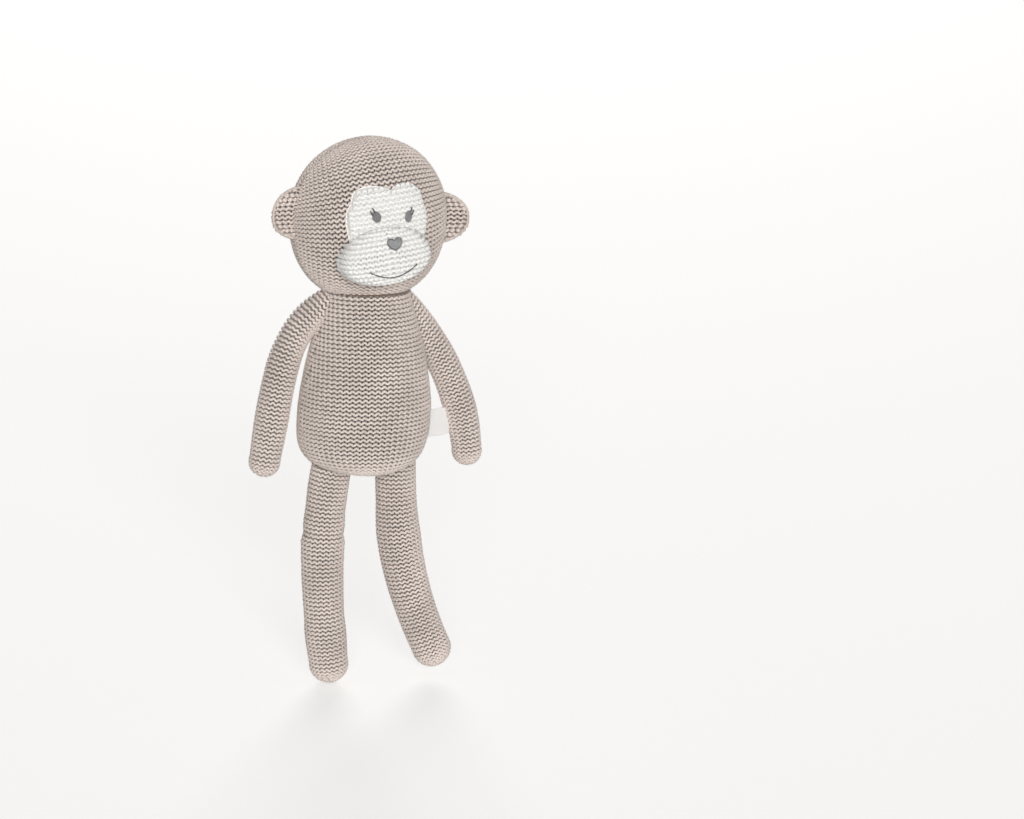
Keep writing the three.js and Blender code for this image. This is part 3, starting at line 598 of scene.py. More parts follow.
right_leg_path = [
    (-hip_spacing, hip_y, hip_z + hip_radius),
    (-hip_spacing - 0.0075, hip_y, seat_z - 0.29 * right_foot_drop),
    (-hip_spacing - 0.0065, hip_y, seat_z - 0.58 * right_foot_drop),
    (-hip_spacing + 0.0010, hip_y, seat_z - right_foot_drop),
]
left_leg_path = [
    (hip_spacing, hip_y, hip_z + hip_radius),
    (hip_spacing, hip_y, seat_z - 0.40 * left_foot_drop),
    (hip_spacing + 0.0095, hip_y, seat_z - 0.68 * left_foot_drop),
    (0.050, hip_y - 0.010, seat_z - left_foot_drop),
]
right_leg_stops = [(0.0, 0.0128), (0.006, 0.0129), (0.024, 0.0127), (0.035, 0.0132), (0.0405, 0.0129),
                   (0.047, 0.0139), (0.056, 0.0137), (0.064, 0.0134), (0.092, 0.0128), (0.108, 0.0133)]
left_leg_stops = [(0.0, 0.0130), (0.020, 0.0131), (0.048, 0.0142)]


def below_seat(points):
    """True for each point that lies under the torso's seat."""
    aside = (points[:, 0, None] - torso_push(seat_height[1:])) / seat_width[1:]
    ring = np.hypot(aside, (points[:, 1, None] - torso_axis_y) / seat_depth[1:])
    return points[:, 2] < [np.interp(-1.0, -row, seat_height[1:]) for row in ring]


join_rows = np.linspace(0.0, 0.048, 190)
join_angles = np.linspace(0, math.tau, 72)
crease_inset = 0.0003
legs = (("right_leg", -1, right_leg_path, right_leg_stops), ("left_leg", 1, left_leg_path, left_leg_stops))
for name, side, path, stops in legs:
    cover = limb_cover(path, stops, foot_radius, leg_lead)
    add_limb(name, cover, leg_first_row, 10.0 + side)
    leg_lines = [cover[0](join_rows, np.full(len(join_rows), angle)) for angle in join_angles]
    leg_join = np.array([line[np.argmax(below_seat(line))] for line in leg_lines])
    leg_join -= crease_inset * unit(leg_join - leg_join.mean(0))
    # Painted shade: a dark ring in the crease between leg and seat.
    leg_crease = stitched(f"{name}_crease_thread", [leg_join], crease_thread, crease_radius, seed=3.0)
    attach(leg_crease, "torso")

# Arms: the same kind of tube, thinner, closed round at the hand and sewn to the torso's side below the
# neck. The root is turned in along its seam.
shoulder_x, shoulder_y, shoulder_z = joint_places["left_arm_swing"]
arm_root = (shoulder_x - 0.011, shoulder_y, shoulder_z + 0.005)
arm_lead = 0.002
arm_first_row = 0.003
hand_radius = 0.0098
arm_stops = [(0.0, 0.0098), (0.030, 0.0098), (0.055, 0.0104), (0.084, 0.0106)]
right_arm_bends = ((0.0555, 0.0105), (0.0560, 0.0437), (0.0668, 0.1040))
left_arm_bends = ((0.0415, 0.0140), (0.0695, 0.0557), (0.0702, 0.1050))
arms = (("right_arm", -1, right_arm_bends, 0.2), ("left_arm", 1, left_arm_bends, 0.0))
for name, side, bends, middle in arms:
    arm_path = [arm_root] + [(reach, shoulder_y, shoulder_z - drop) for reach, drop in bends]
    arm_path = [np.array(point) * (side, 1, 1) for point in arm_path]
    cover = limb_cover(arm_path, arm_stops, hand_radius, arm_lead)
    add_limb(name, cover, arm_first_row, 20.0 + side,
             middle=middle)

# Head cover: a front and a back panel of the same knit, sewn together up one side, over the crown and down
# the other. Filled hard, each is drawn over half of the ball, so its rows stay level in the middle.
head_low, head_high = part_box("head_cover")
head_half_width = (head_high[0] - head_low[0]) / 2
head_half_depth = (head_high[1] - head_low[1]) / 2
crown_height = 0.0496
jaw_height = 0.0527
jaw_fullness = 2.2
head_lean = 0.033
head_middle_z = head_high[2] - crown_height
chin_z = head_middle_z - 0.0475
face_half_width = 0.019
face_half_height = 0.022
face_drop = 0.004
panel_radius = 0.0485
panel_tilt = math.radians(8.5)
panel_reach = panel_radius * quarter
panel_span = (-panel_reach, panel_reach)
PANEL_STITCH = 0.0041
PANEL_COURSE = 0.0034
PANEL_LOOPS = GREIGE_LOOPS | {"Loop Height": 0.72 * PANEL_COURSE, "Loop Lean": 0.13 * PANEL_STITCH}


def tilted(arrows, tilt):
    """Arrows turned in the plane of the face."""
    x, y, z = arrows[..., 0], arrows[..., 1], arrows[..., 2]
    cos, sin = math.cos(tilt), math.sin(tilt)
    return np.stack([x * cos - z * sin, y, x * sin + z * cos], -1)


def head_sides(level):
    """How far the head reaches above or below its middle, and how full it is there."""
    return np.where(level < 0, jaw_height, crown_height), np.where(level < 0, jaw_fullness, 2.0)


def head_form(way, grow):
    """Where the head's outside lies along arrows from its middle. The crown leans to the toy's left."""
    reach, power = head_sides(way[..., 2])
    height = np.abs(way[..., 2]) / (reach + grow)
    ring = np.hypot(way[..., 0] / (head_half_width + grow), way[..., 1] / (head_half_depth + grow))
    points = way * ((ring ** power + height ** power) ** (-1 / power))[..., None]
    points[..., 0] += head_lean * points[..., 2]
    return points + (0.0, torso_axis_y, head_middle_z)


def head_panel(facing, grow=0.0):
    """A round panel drawn over the front (1) or back (-1) of the head, where it sits a little askew. Rows
    and stitches are lengths on the flat panel."""
    def surface(row, across):
        row = row + 0 * across
        turn = np.hypot(across, row) / panel_radius
        spread = np.sinc(turn / math.pi) / panel_radius
        way = np.stack([facing * across * spread, -facing * np.cos(turn), row * spread], -1)
        return head_form(tilted(way, panel_tilt), grow)

    return surface


def head_part(facing):
    """One half of the head, but for the middle of the face, which the patch and the muzzle cover."""
    def keep(line, across):
        level = line[:, 2] - head_middle_z + face_drop
        face = (line[:, 0] / face_half_width) ** 2 + (level / face_half_height) ** 2 < 1
        half = facing * (torso_axis_y - line[:, 1]) >= 0
        return half & (line[:, 2] > chin_z) & ~(face & (facing > 0))

    return keep


def rim_distance(points):
    return np.abs(points[:, 1] - torso_axis_y)


def head_ball(row, across):
    way = [np.cos(row) * np.sin(across), -np.cos(row) * np.cos(across), np.sin(row) + 0 * across]
    return head_form(np.stack(way, -1), 0.0)


panel_rows = np.arange(-panel_reach, panel_reach, PANEL_COURSE)
head_panels = []
for panel_name, facing in (("head_front", 1), ("head_back", -1)):
    panel_courses = lay_courses(head_panel(facing), panel_rows, panel_span, stitch=PANEL_STITCH,
                                keep=head_part(facing), edge=rim_distance, sink=0.0014, flat=True)
    head_panels.append(knitted(panel_name, panel_courses, greige_yarn, 4.0, PANEL_LOOPS))
head_front, head_back = head_panels
ball_rows = np.radians(np.linspace(-66, 88, 70))
# The head's filling is painted shade between the stitches.
head_filling = filled_form("head_filling", head_ball, ball_rows, full_turn, knit_shade)
for piece in (head_front, head_back, head_filling):
    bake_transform(piece)
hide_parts("head_cover")
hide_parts("head_stuffing")

# Face patch: white knit of a looser gauge, cut with two arches over the eyes, turned under all round and
# sewn flat on the head. The muzzle covers its lower edge.
mask_rise = 0.0021
mask_right_half_width = 0.0263
mask_right_top = 0.0220
mask_left_half_width = 0.0230
mask_left_top = 0.0240
mask_dip = 0.020
mask_bottom = -0.013
fold_radius = 0.00045
muzzle_middle = np.array([-0.0029, torso_axis_y - 0.036, head_middle_z - 0.0208])
muzzle_half_width = 0.0281
muzzle_half_depth = 0.0198
muzzle_above = 0.0202
muzzle_below = 0.0158
muzzle_roundness = 2.12
muzzle_fullness = 3.8
WHITE_STITCH = 0.0036
WHITE_COURSE = 0.0031
WHITE_LOOPS = GREIGE_LOOPS | {
    "Loop Height": 0.68 * WHITE_COURSE,
    "Loop Lean": 0.12 * WHITE_STITCH,
    "Loop Depth": 0.00075,
    "Sink": 0.0011,
    "Yarn Radius": 0.00092,
    "Unevenness": 0.0004,
    "Swell": 0.0,
}
white_yarn = yarn_finish("white_cotton_yarn", (0.95, 0.94, 0.915), (0.89, 0.875, 0.845), dive_shade=0.30)
# A greyer off-white thread for the muzzle seam, darkened as painted shade in its groove.
join_shade_thread = yarn_finish("off_white_sewing_thread", (0.66, 0.64, 0.61), (0.54, 0.52, 0.50), THREAD_PLY_TURN)
# Painted shade: a slightly darker white behind the white knit, which stands for the shade between its
# stitches.
white_shade = gap_shade_finish("white_backing_shade", (0.86, 0.84, 0.81))


def mask_half(side, half_width, top):
    """One half of the patch's outline, from the dip between the arches to the lower corner."""
    edge = side * 0.9 * half_width
    bulge = side * 1.06 * half_width
    brow = 1.1 * top
    arch = curve((0, mask_dip), (0.3 * edge, brow), (edge, brow), (edge, 0.55 * top))
    cheek = curve((edge, 0.55 * top), (bulge, 0.3 * top), (bulge, 0), (edge, mask_bottom))
    return np.concatenate([arch, cheek[1:]])


mask_left = mask_half(1, mask_left_half_width, mask_left_top)
mask_right = mask_half(-1, mask_right_half_width, mask_right_top)
mask_outline = np.concatenate([mask_left, mask_right[:0:-1]])


def within(outline, x, z):
    """True for each point that lies inside a closed outline."""
    inside = np.zeros(len(x), bool)
    for (x1, z1), (x2, z2) in zip(outline, np.roll(outline, -1, axis=0)):
        if z1 != z2:
            crosses = (z1 > z) != (z2 > z)
            inside ^= crosses & (x < (x2 - x1) * (z - z1) / (z2 - z1) + x1)
    return inside


def outline_distance(outline, x, z):
    """How far each point lies from the nearest side of a closed outline."""
    way = np.roll(outline, -1, axis=0) - outline
    away = np.stack([x, z], -1)[:, None] - outline
    share = np.clip((away * way).sum(-1) / (way ** 2).sum(-1), 0, 1)
    return np.linalg.norm(away - share[..., None] * way, axis=-1).min(1)


def muzzle_ring(x, z):
    """How far out points seen from the front lie in the muzzle's own outline, from 0 to 1 at the edge."""
    aside = np.abs(x) / muzzle_half_width
    level = np.abs(z) / np.where(z < 0, muzzle_below, muzzle_above)
    return (aside ** muzzle_roundness + level ** muzzle_roundness) ** (1 / muzzle_roundness)


def above_muzzle(points):
    """How far points lie outside the muzzle's form."""
    away = tilted(points - muzzle_middle, -panel_tilt)
    ring = muzzle_ring(away[..., 0], away[..., 2])
    front = np.abs(away[..., 1]) / muzzle_half_depth
    level = (ring ** muzzle_fullness + front ** muzzle_fullness) ** (1 / muzzle_fullness)
    return (level - 1) * muzzle_half_depth


def on_mask(line, across):
    x, z = line[:, 0], line[:, 2] - head_middle_z
    inside = (line[:, 1] < torso_axis_y) & within(mask_outline, x, z)
    return inside & (outline_distance(mask_outline, x, z) > fold_radius) & (above_muzzle(line) > 0)


def mask_edge(points):
    to_fold = outline_distance(mask_outline, points[:, 0], points[:, 2] - head_middle_z)
    return np.minimum(to_fold, above_muzzle(points))


def head_front_y(x, z, grow):
    """Where the front of the head lies, for points seen from the front."""
    reach, power = head_sides(z)
    height = np.clip(np.abs(z) / (reach + grow), 0, 1)
    ring = (1 - height ** power) ** (1 / power)
    aside = (x - head_lean * z) / (head_half_width + grow)
    return torso_axis_y - (head_half_depth + grow) * np.sqrt(np.clip(ring ** 2 - aside ** 2, 0, 1))


def on_front(spots, front_y):
    """Points seen from the front, laid on a form, and the way that it faces there."""
    x, z = spots[:, 0], spots[:, 1]
    step = 0.0002
    slope_x = (front_y(x + step, z) - front_y(x - step, z)) / (2 * step)
    slope_z = (front_y(x, z + step) - front_y(x, z - step)) / (2 * step)
    faces = unit(np.stack([slope_x, -np.ones(len(x)), slope_z], -1))
    return np.stack([x, front_y(x, z), z], -1), faces


def on_patch(spots, grow=mask_rise + 0.0004):
    points, faces = on_front(spots, lambda x, z: head_front_y(x, z, grow))
    return points + (0.0, 0.0, head_middle_z), faces


mask_rows = np.arange(-0.022, 0.034, WHITE_COURSE)
mask_courses = lay_courses(head_panel(1, mask_rise), mask_rows, panel_span, stitch=WHITE_STITCH,
                           keep=on_mask, edge=mask_edge, sink=0.0012, flat=True)
mask_knit = knitted("face_mask_knit", mask_courses, white_yarn, 5.0, WHITE_LOOPS)
fold_line = on_patch(np.roll(mask_outline, -len(mask_left), axis=0), -0.0006)[0]
mask_fold = stitched("face_mask_fold", [fold_line], white_yarn, fold_radius, seed=5.0, sides=8)
backing_shares = (0.0, 0.35, 0.65, 0.90, 0.985, 0.985)
backing_rises = (0.0009, 0.0009, 0.0009, 0.0009, 0.0, -0.003)
backing_points = []
mask_centre = np.array([0.0, 0.004])
for share, grow in zip(backing_shares, backing_rises):
    ring = mask_centre + share * (mask_outline - mask_centre)
    y = head_front_y(ring[:, 0], ring[:, 1], grow)
    backing_points.append(np.stack([ring[:, 0], y, ring[:, 1] + head_middle_z], -1))
backing_points = np.concatenate(backing_points)
backing_faces = tube_faces(len(backing_shares), len(mask_outline))
backing_faces.append(range(len(backing_points) - len(mask_outline), len(backing_points)))
# The backing under the patch is painted shade between its stitches.
mask_backing = as_object("face_mask_backing", backing_points, (), backing_faces)
mask_backing.data.materials.append(white_shade)
for piece in (mask_knit, mask_fold, mask_backing):
    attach(piece, "head")
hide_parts("face_mask")

# Muzzle: a white knitted cap, gathered over its own filling and sewn round its edge to the head and the
# face patch, so that it stands out like a bean.
muzzle_angles = np.linspace(-quarter, quarter, 300)
muzzle_level = np.sign(muzzle_angles) * np.abs(np.sin(muzzle_angles)) ** (2 / muzzle_fullness)
muzzle_height = muzzle_level * np.where(muzzle_level < 0, muzzle_below, muzzle_above)
muzzle_front = muzzle_half_depth * np.abs(np.cos(muzzle_angles)) ** (2 / muzzle_fullness)
muzzle_lengths = outline_lengths(muzzle_front, muzzle_height)
muzzle_length = muzzle_lengths[-1]


def muzzle_front_y(x, z):
    ring = np.clip(muzzle_ring(x, z), 0, 1)
    return -muzzle_half_depth * (1 - ring ** muzzle_fullness) ** (1 / muzzle_fullness)


def muzzle_surface(row, across):
    """The bean, from its lower to its upper edge, and round from the front (0) to the back (pi)."""
    level = np.interp(row, muzzle_lengths, muzzle_level)
    z = np.interp(row, muzzle_lengths, muzzle_height) + 0 * across
    girth = (1 - np.abs(level) ** muzzle_roundness) ** (1 / muzzle_roundness)
    side = np.sin(across)
    x = muzzle_half_width * girth * np.sign(side) * np.abs(side) ** (2 / muzzle_fullness)
    y = muzzle_front_y(x, z) * np.sign(np.cos(across))
    return muzzle_middle + tilted(np.stack([x, y, z], -1), panel_tilt)


def above_ground(points):
    """How far points lie in front of the head or, where it covers the head, the face patch."""
    level = points[:, 2] - head_middle_z
    reach, power = head_sides(level)
    height = np.abs(level) / reach
    aside = (points[:, 0] - head_lean * level) / head_half_width
    ring = np.hypot(aside, (points[:, 1] - torso_axis_y) / head_half_depth)
    above = ((ring ** power + height ** power) ** (1 / power) - 1) * head_half_depth
    covered = within(mask_outline, points[:, 0], level)
    return above - np.where(covered, mask_rise, 0.0004)


def on_muzzle_front(line, across):
    return (above_ground(line) > -0.0005) & (np.cos(across) > -0.5)


muzzle_rows = np.arange(0.0012, muzzle_length, WHITE_COURSE)
muzzle_courses = lay_courses(muzzle_surface, muzzle_rows, (-math.pi, math.pi), stitch=WHITE_STITCH,
                             keep=on_muzzle_front, edge=above_ground, sink=0.0006)
muzzle_knit = knitted("muzzle_knit", muzzle_courses, white_yarn, 6.0, WHITE_LOOPS)
# The seam round the muzzle: partly the real seam thread and partly painted shade that marks the groove.
join_points = []
for angle in np.linspace(0, math.tau, 90):
    share = np.linspace(0.4, 1.0, 240)
    x = share * muzzle_half_width * math.cos(angle)
    z = share * math.sin(angle) * (muzzle_below if math.sin(angle) < 0 else muzzle_above)
    ray = muzzle_middle + tilted(np.stack([x, muzzle_front_y(x, z), z], -1), panel_tilt)
    join_points.append(ray[np.flatnonzero(above_ground(ray) > 0)[-1]])
join_radius = 0.0004
muzzle_join = stitched("muzzle_join", [np.array(join_points)], join_shade_thread, join_radius, seed=6.0, sides=6)
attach(muzzle_join, "head")
# The muzzle's filling is painted shade between its stitches.
muzzle_filling_rows = np.linspace(0.0008, muzzle_length - 0.0008, 40)
muzzle_filling = filled_form("muzzle_filling", muzzle_surface, muzzle_filling_rows, full_turn + 0.02,
                             white_shade, depth=0.0022)
for piece in (muzzle_knit, muzzle_filling):
    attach(piece, "head")
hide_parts("muzzle_cover")
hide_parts("muzzle_stuffing")

# Eyes: ovals of grey satin stitch worked through the face patch, each with two dark lashes that stand side
# by side on its upper outer edge.
eye_z = 0.005
eye_lean = math.radians(14)
eye_slant = math.radians(35)
lash_length = 0.0024
lash_root = 0.001
lash_slant = math.radians(62)
lash_places = (math.radians(35), math.radians(80))
lash_spacing = 0.00032
strand_radius = 0.00030
strand_pitch = 0.00044
stitch_sink = 0.0003
FLOSS_PLY_TURN = 0.0016
eye_floss = yarn_finish("slate_floss", (0.27, 0.27, 0.275), (0.12, 0.12, 0.123), FLOSS_PLY_TURN)
dark_floss = yarn_finish("dark_floss", (0.085, 0.085, 0.088), (0.045, 0.045, 0.047), FLOSS_PLY_TURN)


def plane_turn(angle):
    return np.array([[math.cos(angle), -math.sin(angle)], [math.sin(angle), math.cos(angle)]])


def hatch(outline, slant, pitch):
    """Straight lines side by side that fill a closed outline, as pairs of end points."""
    turn = plane_turn(slant)
    level = outline @ turn
    pairs = []
    for z in np.arange(level[:, 1].min() + pitch / 2, level[:, 1].max(), pitch):
        crossings = []
        for (x1, z1), (x2, z2) in zip(level, np.roll(level, -1, axis=0)):
            if (z1 > z) != (z2 > z):
                crossings.append((x2 - x1) * (z - z1) / (z2 - z1) + x1)
        crossings.sort()
        for left, right in zip(crossings[::2], crossings[1::2]):
            pairs.append((np.array([left, z]) @ turn.T, np.array([right, z]) @ turn.T))
    return pairs


def laid(first, last, ground, crown, points=7):
    """One stitch from point to point, raised in the middle and drawn into the cloth at both ends."""
    share = np.linspace(0, 1, points)[:, None]
    spots, faces = ground(np.array(first) + share * (np.array(last) - np.array(first)))
    lift = crown * np.sin(share * math.pi) ** 0.5 - stitch_sink
    return spots + faces * lift


round_angles = np.linspace(0, math.tau, 40, endpoint=False)
round_points = np.stack([np.cos(round_angles), np.sin(round_angles)], -1)
eyes = (("right", -1, 0.0106, (0.0026, 0.0033)), ("left", 1, 0.0096, (0.0022, 0.0034)))
for side_name, side, eye_x, eye_half in eyes:
    lean = plane_turn(side * eye_lean)
    oval = (round_points * eye_half) @ lean + (side * eye_x, eye_z)
    strands = [laid(*ends, on_patch, crown=0.0010) for ends in hatch(oval, side * eye_slant, strand_pitch)]
    eye = stitched(f"{side_name}_eye_satin", strands, eye_floss, strand_radius, seed=7.0)
    way = np.array([side * math.cos(lash_slant), math.sin(lash_slant)])
    beside = np.array([way[1], -way[0]]) * lash_spacing
    lashes = []
    for angle in lash_places:
        spot = np.array([eye_half[0] * math.cos(angle) * side, eye_half[1] * math.sin(angle)]) @ lean
        root = spot + (side * eye_x, eye_z)
        for shift in (-0.5, 0.5):
            first = root - lash_root * way + shift * beside
            last = root + lash_length * way + shift * beside
            lashes.append(laid(first, last, on_patch, crown=0.0011))
    lash = stitched(f"{side_name}_eye_lashes", lashes, dark_floss, strand_radius, seed=7.0)
    for piece in (eye, lash):
        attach(piece, "head")
    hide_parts(f"{side_name}_eye")

# Nose: a heart of satin stitch on the muzzle, worked slantwise in a lighter grey floss than the eyes and
# edged with short stitches of the dark floss.
grey_floss = yarn_finish("grey_floss", (0.40, 0.40, 0.405), (0.20, 0.20, 0.205), FLOSS_PLY_TURN)
nose_x = 0.0029
nose_half = 0.0047
nose_top = 0.0131
nose_tip = 0.0059
nose_slant = math.radians(62)
nose_rim_radius = 0.00024


def heart_level(share):
    return nose_tip + share * (nose_top - nose_tip)


def on_muzzle(spots):
    """Points of the muzzle's own front, laid on it, and the way that it faces there."""
    points, faces = on_front(spots, muzzle_front_y)
    points = points + 0.0004 * faces
    return muzzle_middle + tilted(points, panel_tilt), tilted(faces, panel_tilt)


def back_stitch(spots, crown, points):
    """Stitches end to end along a line on the muzzle."""
    return [laid(first, last, on_muzzle, crown, points) for first, last in zip(spots[:-1], spots[1:])]


heart_side = curve((0, nose_tip), (nose_half / 2, heart_level(0.2)), (nose_half, heart_level(0.45)),
                   (nose_half, heart_level(0.72)))
heart_lobe = curve((nose_half, heart_level(0.72)), (nose_half, heart_level(1.07)),
                   (nose_half / 4, heart_level(1.07)), (0, heart_level(0.84)))
heart_right = np.concatenate([heart_side, heart_lobe[1:]])
heart = np.concatenate([heart_right, heart_right[-2:0:-1] * (-1, 1)]) + (nose_x, 0.0)
nose_strands = [laid(*ends, on_muzzle, crown=0.0011) for ends in hatch(heart, nose_slant, strand_pitch)]
nose = stitched("nose_satin", nose_strands, grey_floss, strand_radius, seed=8.0)
heart_loop = np.append(heart, heart[:1], axis=0)
rim_steps = np.linspace(0, len(heart), 25)
loop_steps = np.arange(len(heart_loop))
rim_spots = np.stack([np.interp(rim_steps, loop_steps, heart_loop[:, axis]) for axis in (0, 1)], -1)
rim_stitches = back_stitch(rim_spots, crown=0.0010, points=5)
nose_rim = stitched("nose_rim", rim_stitches, dark_floss, nose_rim_radius, seed=8.0)
for piece in (nose, nose_rim):
    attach(piece, "head")
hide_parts("nose")

# Mouth: one dark thread, worked by hand in back stitch along a shallow arc across the muzzle, so that its
# short stitches lie end to end in the cloth.
mouth_x = 0.0002
mouth_half = 0.015
mouth_corner = -0.0045
mouth_middle = -0.0098
mouth_radius = 0.00036
mouth_arc = curve((mouth_x - mouth_half, mouth_corner), (mouth_x, 2 * mouth_middle - mouth_corner),
                  (mouth_x + mouth_half, mouth_corner))
mouth_stitches = back_stitch(mouth_arc, crown=0.0007, points=6)
mouth = stitched("mouth_stitches", mouth_stitches, dark_floss, mouth_radius, seed=9.0)
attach(mouth, "head")
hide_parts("mouth")

# Ears: two half-round knitted panels each, sewn round the rim, lightly filled and cupped forwards, with
# the open edge sewn to the side of the head.
ear_half_height = 0.0157
ear_reach = 0.0165
ear_half_thickness = 0.0036
ear_cup = 0.0060
ear_root = 0.0015
ear_fullness = 2.6
ear_drop = 0.0008
ear_rim_radius = 0.0009
ear_rim_inset = 0.0010
rim_thread = yarn_finish("greige_rim_thread", (0.64, 0.555, 0.50), (0.50, 0.43, 0.385), THREAD_PLY_TURN)
EAR_LOOPS = GREIGE_LOOPS | {
    "Loop Depth": 0.0006,
    "Yarn Radius": 0.00082,
    "Unevenness": 0.0003,
    "Swell": 0.0,
}


def ear_cover(side, fold):
    def surface(row, across):
        row = row + 0 * across
        height = np.clip(row / ear_half_height, -1, 1)
        level = (fold[2] - ear_drop + row - head_middle_z) / crown_height
        root_x = head_half_width * np.sqrt(np.clip(1 - level ** 2, 0, 1)) - ear_root
        width = ear_reach * (1 - np.abs(height) ** 2.3) ** 0.5
        thick = ear_half_thickness * (1 - height ** 4) ** 0.5
        out = np.abs(np.cos(across)) ** (2 / ear_fullness)
        y = fold[1] - ear_cup * (out * width / ear_reach) ** 2 + side * thick * np.sin(across)
        return np.stack([side * (root_x + width * out), y, fold[2] - ear_drop + row], -1)

    return surface


ear_rows = np.arange(-ear_half_height + 0.0010, ear_half_height - 0.0005, COURSE_HEIGHT)
ear_filling_rows = np.linspace(-ear_half_height + 0.002, ear_half_height - 0.002, 24)
ear_edge = quarter - 0.02
ear_span = np.linspace(-ear_edge, ear_edge, 24)
rim_rows = ear_half_height * np.sin(np.linspace(-1.5, 1.5, 40))
for side_name, side in (("right", -1), ("left", 1)):
    fold = joint_places[f"{side_name}_ear_fold"]
    surface = ear_cover(side, fold)
    ear_courses = lay_courses(surface, ear_rows, (-ear_edge, ear_edge))
    knit = knitted(f"{side_name}_ear_knit", ear_courses, greige_yarn, 30.0 + side, EAR_LOOPS)
    # The ear's filling is painted shade between the stitches.
    filling = filled_form(f"{side_name}_ear_filling", surface, ear_filling_rows, ear_span, knit_shade,
                          depth=0.0018)
    rim_line = surface(rim_rows, 0 * rim_rows) - (side * ear_rim_inset, 0.0, 0.0)
    rim = stitched(f"{side_name}_ear_rim", [rim_line], rim_thread, ear_rim_radius, seed=31.0, sides=8)
    for piece in (knit, filling, rim):
        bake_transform(piece)
    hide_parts(f"{side_name}_ear_front", f"{side_name}_ear_back")

# Care label: a bare woven tape, folded in half and caught by its two ends in the left side seam. It stands
# off the torso behind the arm.
label_low, label_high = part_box("care_label")
label_place = joint_places["label_flap"]
label_turn = math.radians(15)
label_reach = 0.0125
label_tuck = 0.0065
label_gap = 0.0004
tape_half_thickness = 0.00014
tape_droop = 0.0009
tape, tape_tree, tape_surface = plain_finish("woven_label_tape", {"Roughness": 0.55, "Sheen Weight": 0.2})
tape_place = add_node(tape_tree, "ShaderNodeTexCoord").outputs["Object"]
weave_sizes = {"Vector": tape_place, "Scale": 700.0, "Distortion": 0.6}
weave = add_node(tape_tree, "ShaderNodeTexWave", weave_sizes, bands_direction="Z").outputs["Fac"]
weave_tone = add_ramp(tape_tree, weave, (0.74, 0.73, 0.71), (0.86, 0.855, 0.84))
tape_tree.links.new(weave_tone, tape_surface.inputs["Base Color"])
add_relief(tape_tree, tape_surface, weave, 0.4, 0.0001)

fold_angles = np.linspace(-quarter, quarter, 9)
fold_out = label_reach - 2 * label_gap
near_side = np.stack([np.linspace(-label_tuck, fold_out, 10)[:-1], np.full(9, -label_gap)], -1)
bend = np.stack([fold_out + 2 * label_gap * np.cos(fold_angles), label_gap * np.sin(fold_angles)], -1)
tape_line = np.concatenate([near_side, bend, near_side[::-1] * (1, -1)])
tape_ways = unit(np.gradient(tape_line, axis=0))
tape_sides = np.stack([tape_ways[:, 1], -tape_ways[:, 0]], -1) * tape_half_thickness
tape_section = np.concatenate([tape_line + tape_sides, (tape_line - tape_sides)[::-1]])
tape_levels = np.linspace(label_low[2], label_high[2], 13)
level, out = np.meshgrid(tape_levels, tape_section[:, 0], indexing="ij")
height = (level - label_low[2]) / (label_high[2] - label_low[2])
droop = tape_droop * np.sin(2.2 * height + 0.4)
behind = tape_section[:, 1] + droop * np.clip(out / label_reach, 0, 1) ** 2
tape_x = label_place[0] + out * math.cos(label_turn) - behind * math.sin(label_turn)
tape_y = label_place[1] + out * math.sin(label_turn) + behind * math.cos(label_turn)
tape_points = np.stack([tape_x, tape_y, level], -1).reshape(-1, 3)
tape_count = len(tape_section)
tape_faces = tube_faces(len(tape_levels), tape_count)
tape_faces.append(range(tape_count - 1, -1, -1))
tape_faces.append(range(len(tape_points) - tape_count, len(tape_points)))
label = as_object("care_label_tape", tape_points, (), tape_faces)
label.data.materials.append(tape)
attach(label, "label")
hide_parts("care_label")

# The set: a plain pale floor under the lowest foot, a soft lamp in front, one behind, and a pale room.
floor_z = cad_box[0][2]
floor_half = 30.0
floor_glow = 0.54
floor_corners = [(x * floor_half, y * floor_half, floor_z) for x, y in ((-1, -1), (1, -1), (1, 1), (-1, 1))]
floor = as_object("floor", floor_corners, (), [(0, 1, 2, 3)])
floor_paint, floor_tree, paint = plain_finish("pale_floor", {
    "Base Color": (0.70, 0.695, 0.685, 1.0),
    "Roughness": 0.9,
    "Specular IOR Level": 0.1,
    "Emission Color": (1.0, 0.995, 0.985, 1.0),
})


def seen_rays(tree):
    """One for what the eye sees straight, mirrored or through glass, and nought for light on the toy."""
    rays = add_node(tree, "ShaderNodeLightPath").outputs
    seen = add_math(tree, "ADD", rays["Is Camera Ray"], rays["Is Glossy Ray"])
    return add_math(tree, "ADD", seen, rays["Is Transmission Ray"])


glow = add_math(floor_tree, "MULTIPLY", seen_rays(floor_tree), floor_glow)
floor_tree.links.new(glow, paint.inputs["Emission Strength"])
floor.data.materials.append(floor_paint)


def axes(azimuth, elevation):
    """The ways to the right, up and back towards a lamp or camera that looks at the toy."""
    turn, lift = math.radians(azimuth), math.radians(elevation)
    back = np.array([math.sin(turn) * math.cos(lift), -math.cos(turn) * math.cos(lift), math.sin(lift)])
    right = np.array([math.cos(turn), math.sin(turn), 0.0])
    return right, np.cross(back, right), back


def aimed(right, up, away, place):
    """The placing of a lamp or camera from the ways of its three axes."""
    turn = np.stack([right, up, away], -1)
    return Matrix([[*row, spot] for row, spot in zip(turn, place)] + [[0, 0, 0, 1]])


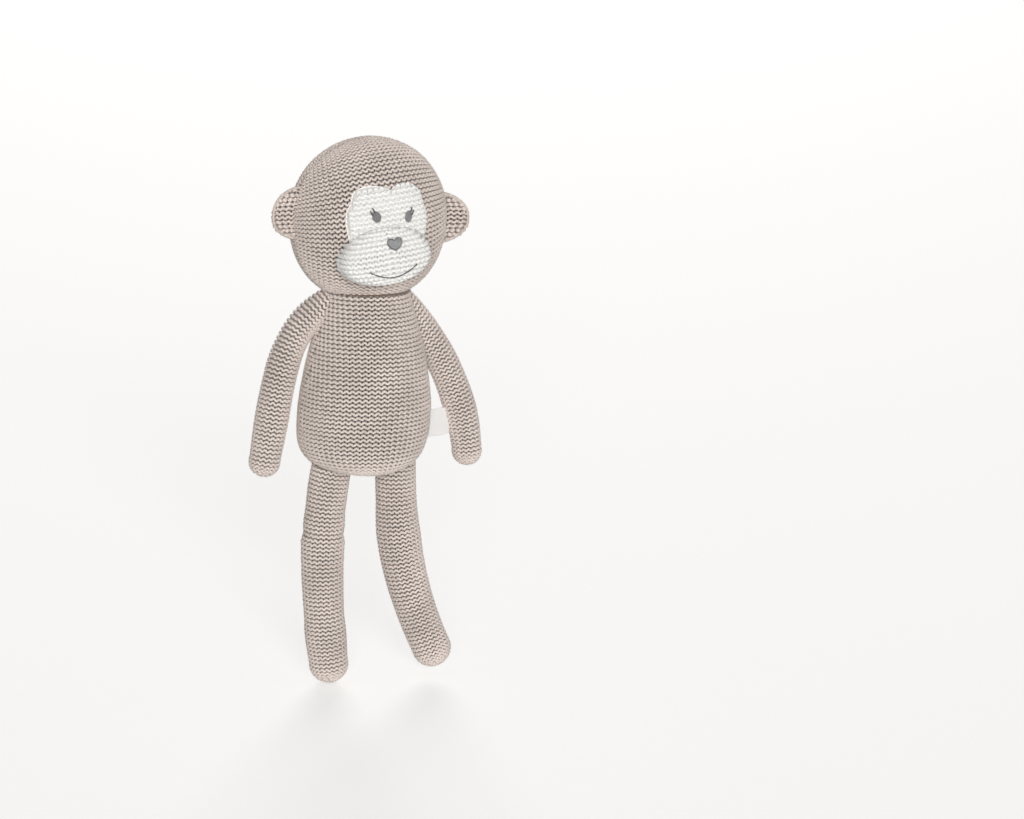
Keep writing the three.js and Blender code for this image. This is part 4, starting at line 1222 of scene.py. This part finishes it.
def add_lamp(name, azimuth, elevation, softness, strength):
    light = bpy.data.lights.new(name, "SUN")
    light.angle = math.radians(softness)
    light.energy = strength
    lamp = bpy.data.objects.new(name, light)
    right, up, away = axes(azimuth, elevation)
    lamp.matrix_world = aimed(right, up, away, away)
    bpy.context.scene.collection.objects.link(lamp)


add_lamp("key_lamp", azimuth=-14, elevation=8, softness=30, strength=3.35)
add_lamp("back_lamp", azimuth=160, elevation=14, softness=30, strength=2.1)
room_light = 0.17
room_glow = 0.70
world = bpy.data.worlds.new("pale_room")
world.use_nodes = True
backdrop = world.node_tree.nodes["Background"]
backdrop.inputs["Color"].default_value = (1.0, 0.985, 0.97, 1.0)
room = add_math(world.node_tree, "MULTIPLY_ADD", seen_rays(world.node_tree), room_glow, room_light)
world.node_tree.links.new(room, backdrop.inputs["Strength"])
bpy.context.scene.world = world
bpy.context.scene.view_settings.view_transform = "Standard"

# The camera: where the photograph was taken from, a little above the toy and to its own right.
PICTURE_WIDTH = 1024
PICTURE_HEIGHT = 819
HEAD_PIXEL = (368.0, 216.0)
FOCAL_PIXELS = 2440.0
VIEW_AZIMUTH = -22.0
VIEW_ELEVATION = 11.0
VIEW_ROLL = math.radians(1.2)
VIEW_DISTANCE = 1.513
head_middle = np.array([0.0, torso_axis_y, 0.107])
level, upright, back = axes(VIEW_AZIMUTH, VIEW_ELEVATION)
right = math.cos(VIEW_ROLL) * level + math.sin(VIEW_ROLL) * upright
up = math.cos(VIEW_ROLL) * upright - math.sin(VIEW_ROLL) * level
aside = (HEAD_PIXEL[0] - PICTURE_WIDTH / 2) / FOCAL_PIXELS * VIEW_DISTANCE
above = (PICTURE_HEIGHT / 2 - HEAD_PIXEL[1]) / FOCAL_PIXELS * VIEW_DISTANCE
eye_place = head_middle + back * VIEW_DISTANCE - right * aside - up * above
camera = bpy.data.objects.new("camera", bpy.data.cameras.new("camera"))
camera.data.sensor_width = 36.0
camera.data.lens = camera.data.sensor_width * FOCAL_PIXELS / PICTURE_WIDTH
camera.matrix_world = aimed(right, up, back, eye_place)
bpy.context.scene.collection.objects.link(camera)
bpy.context.scene.camera = camera
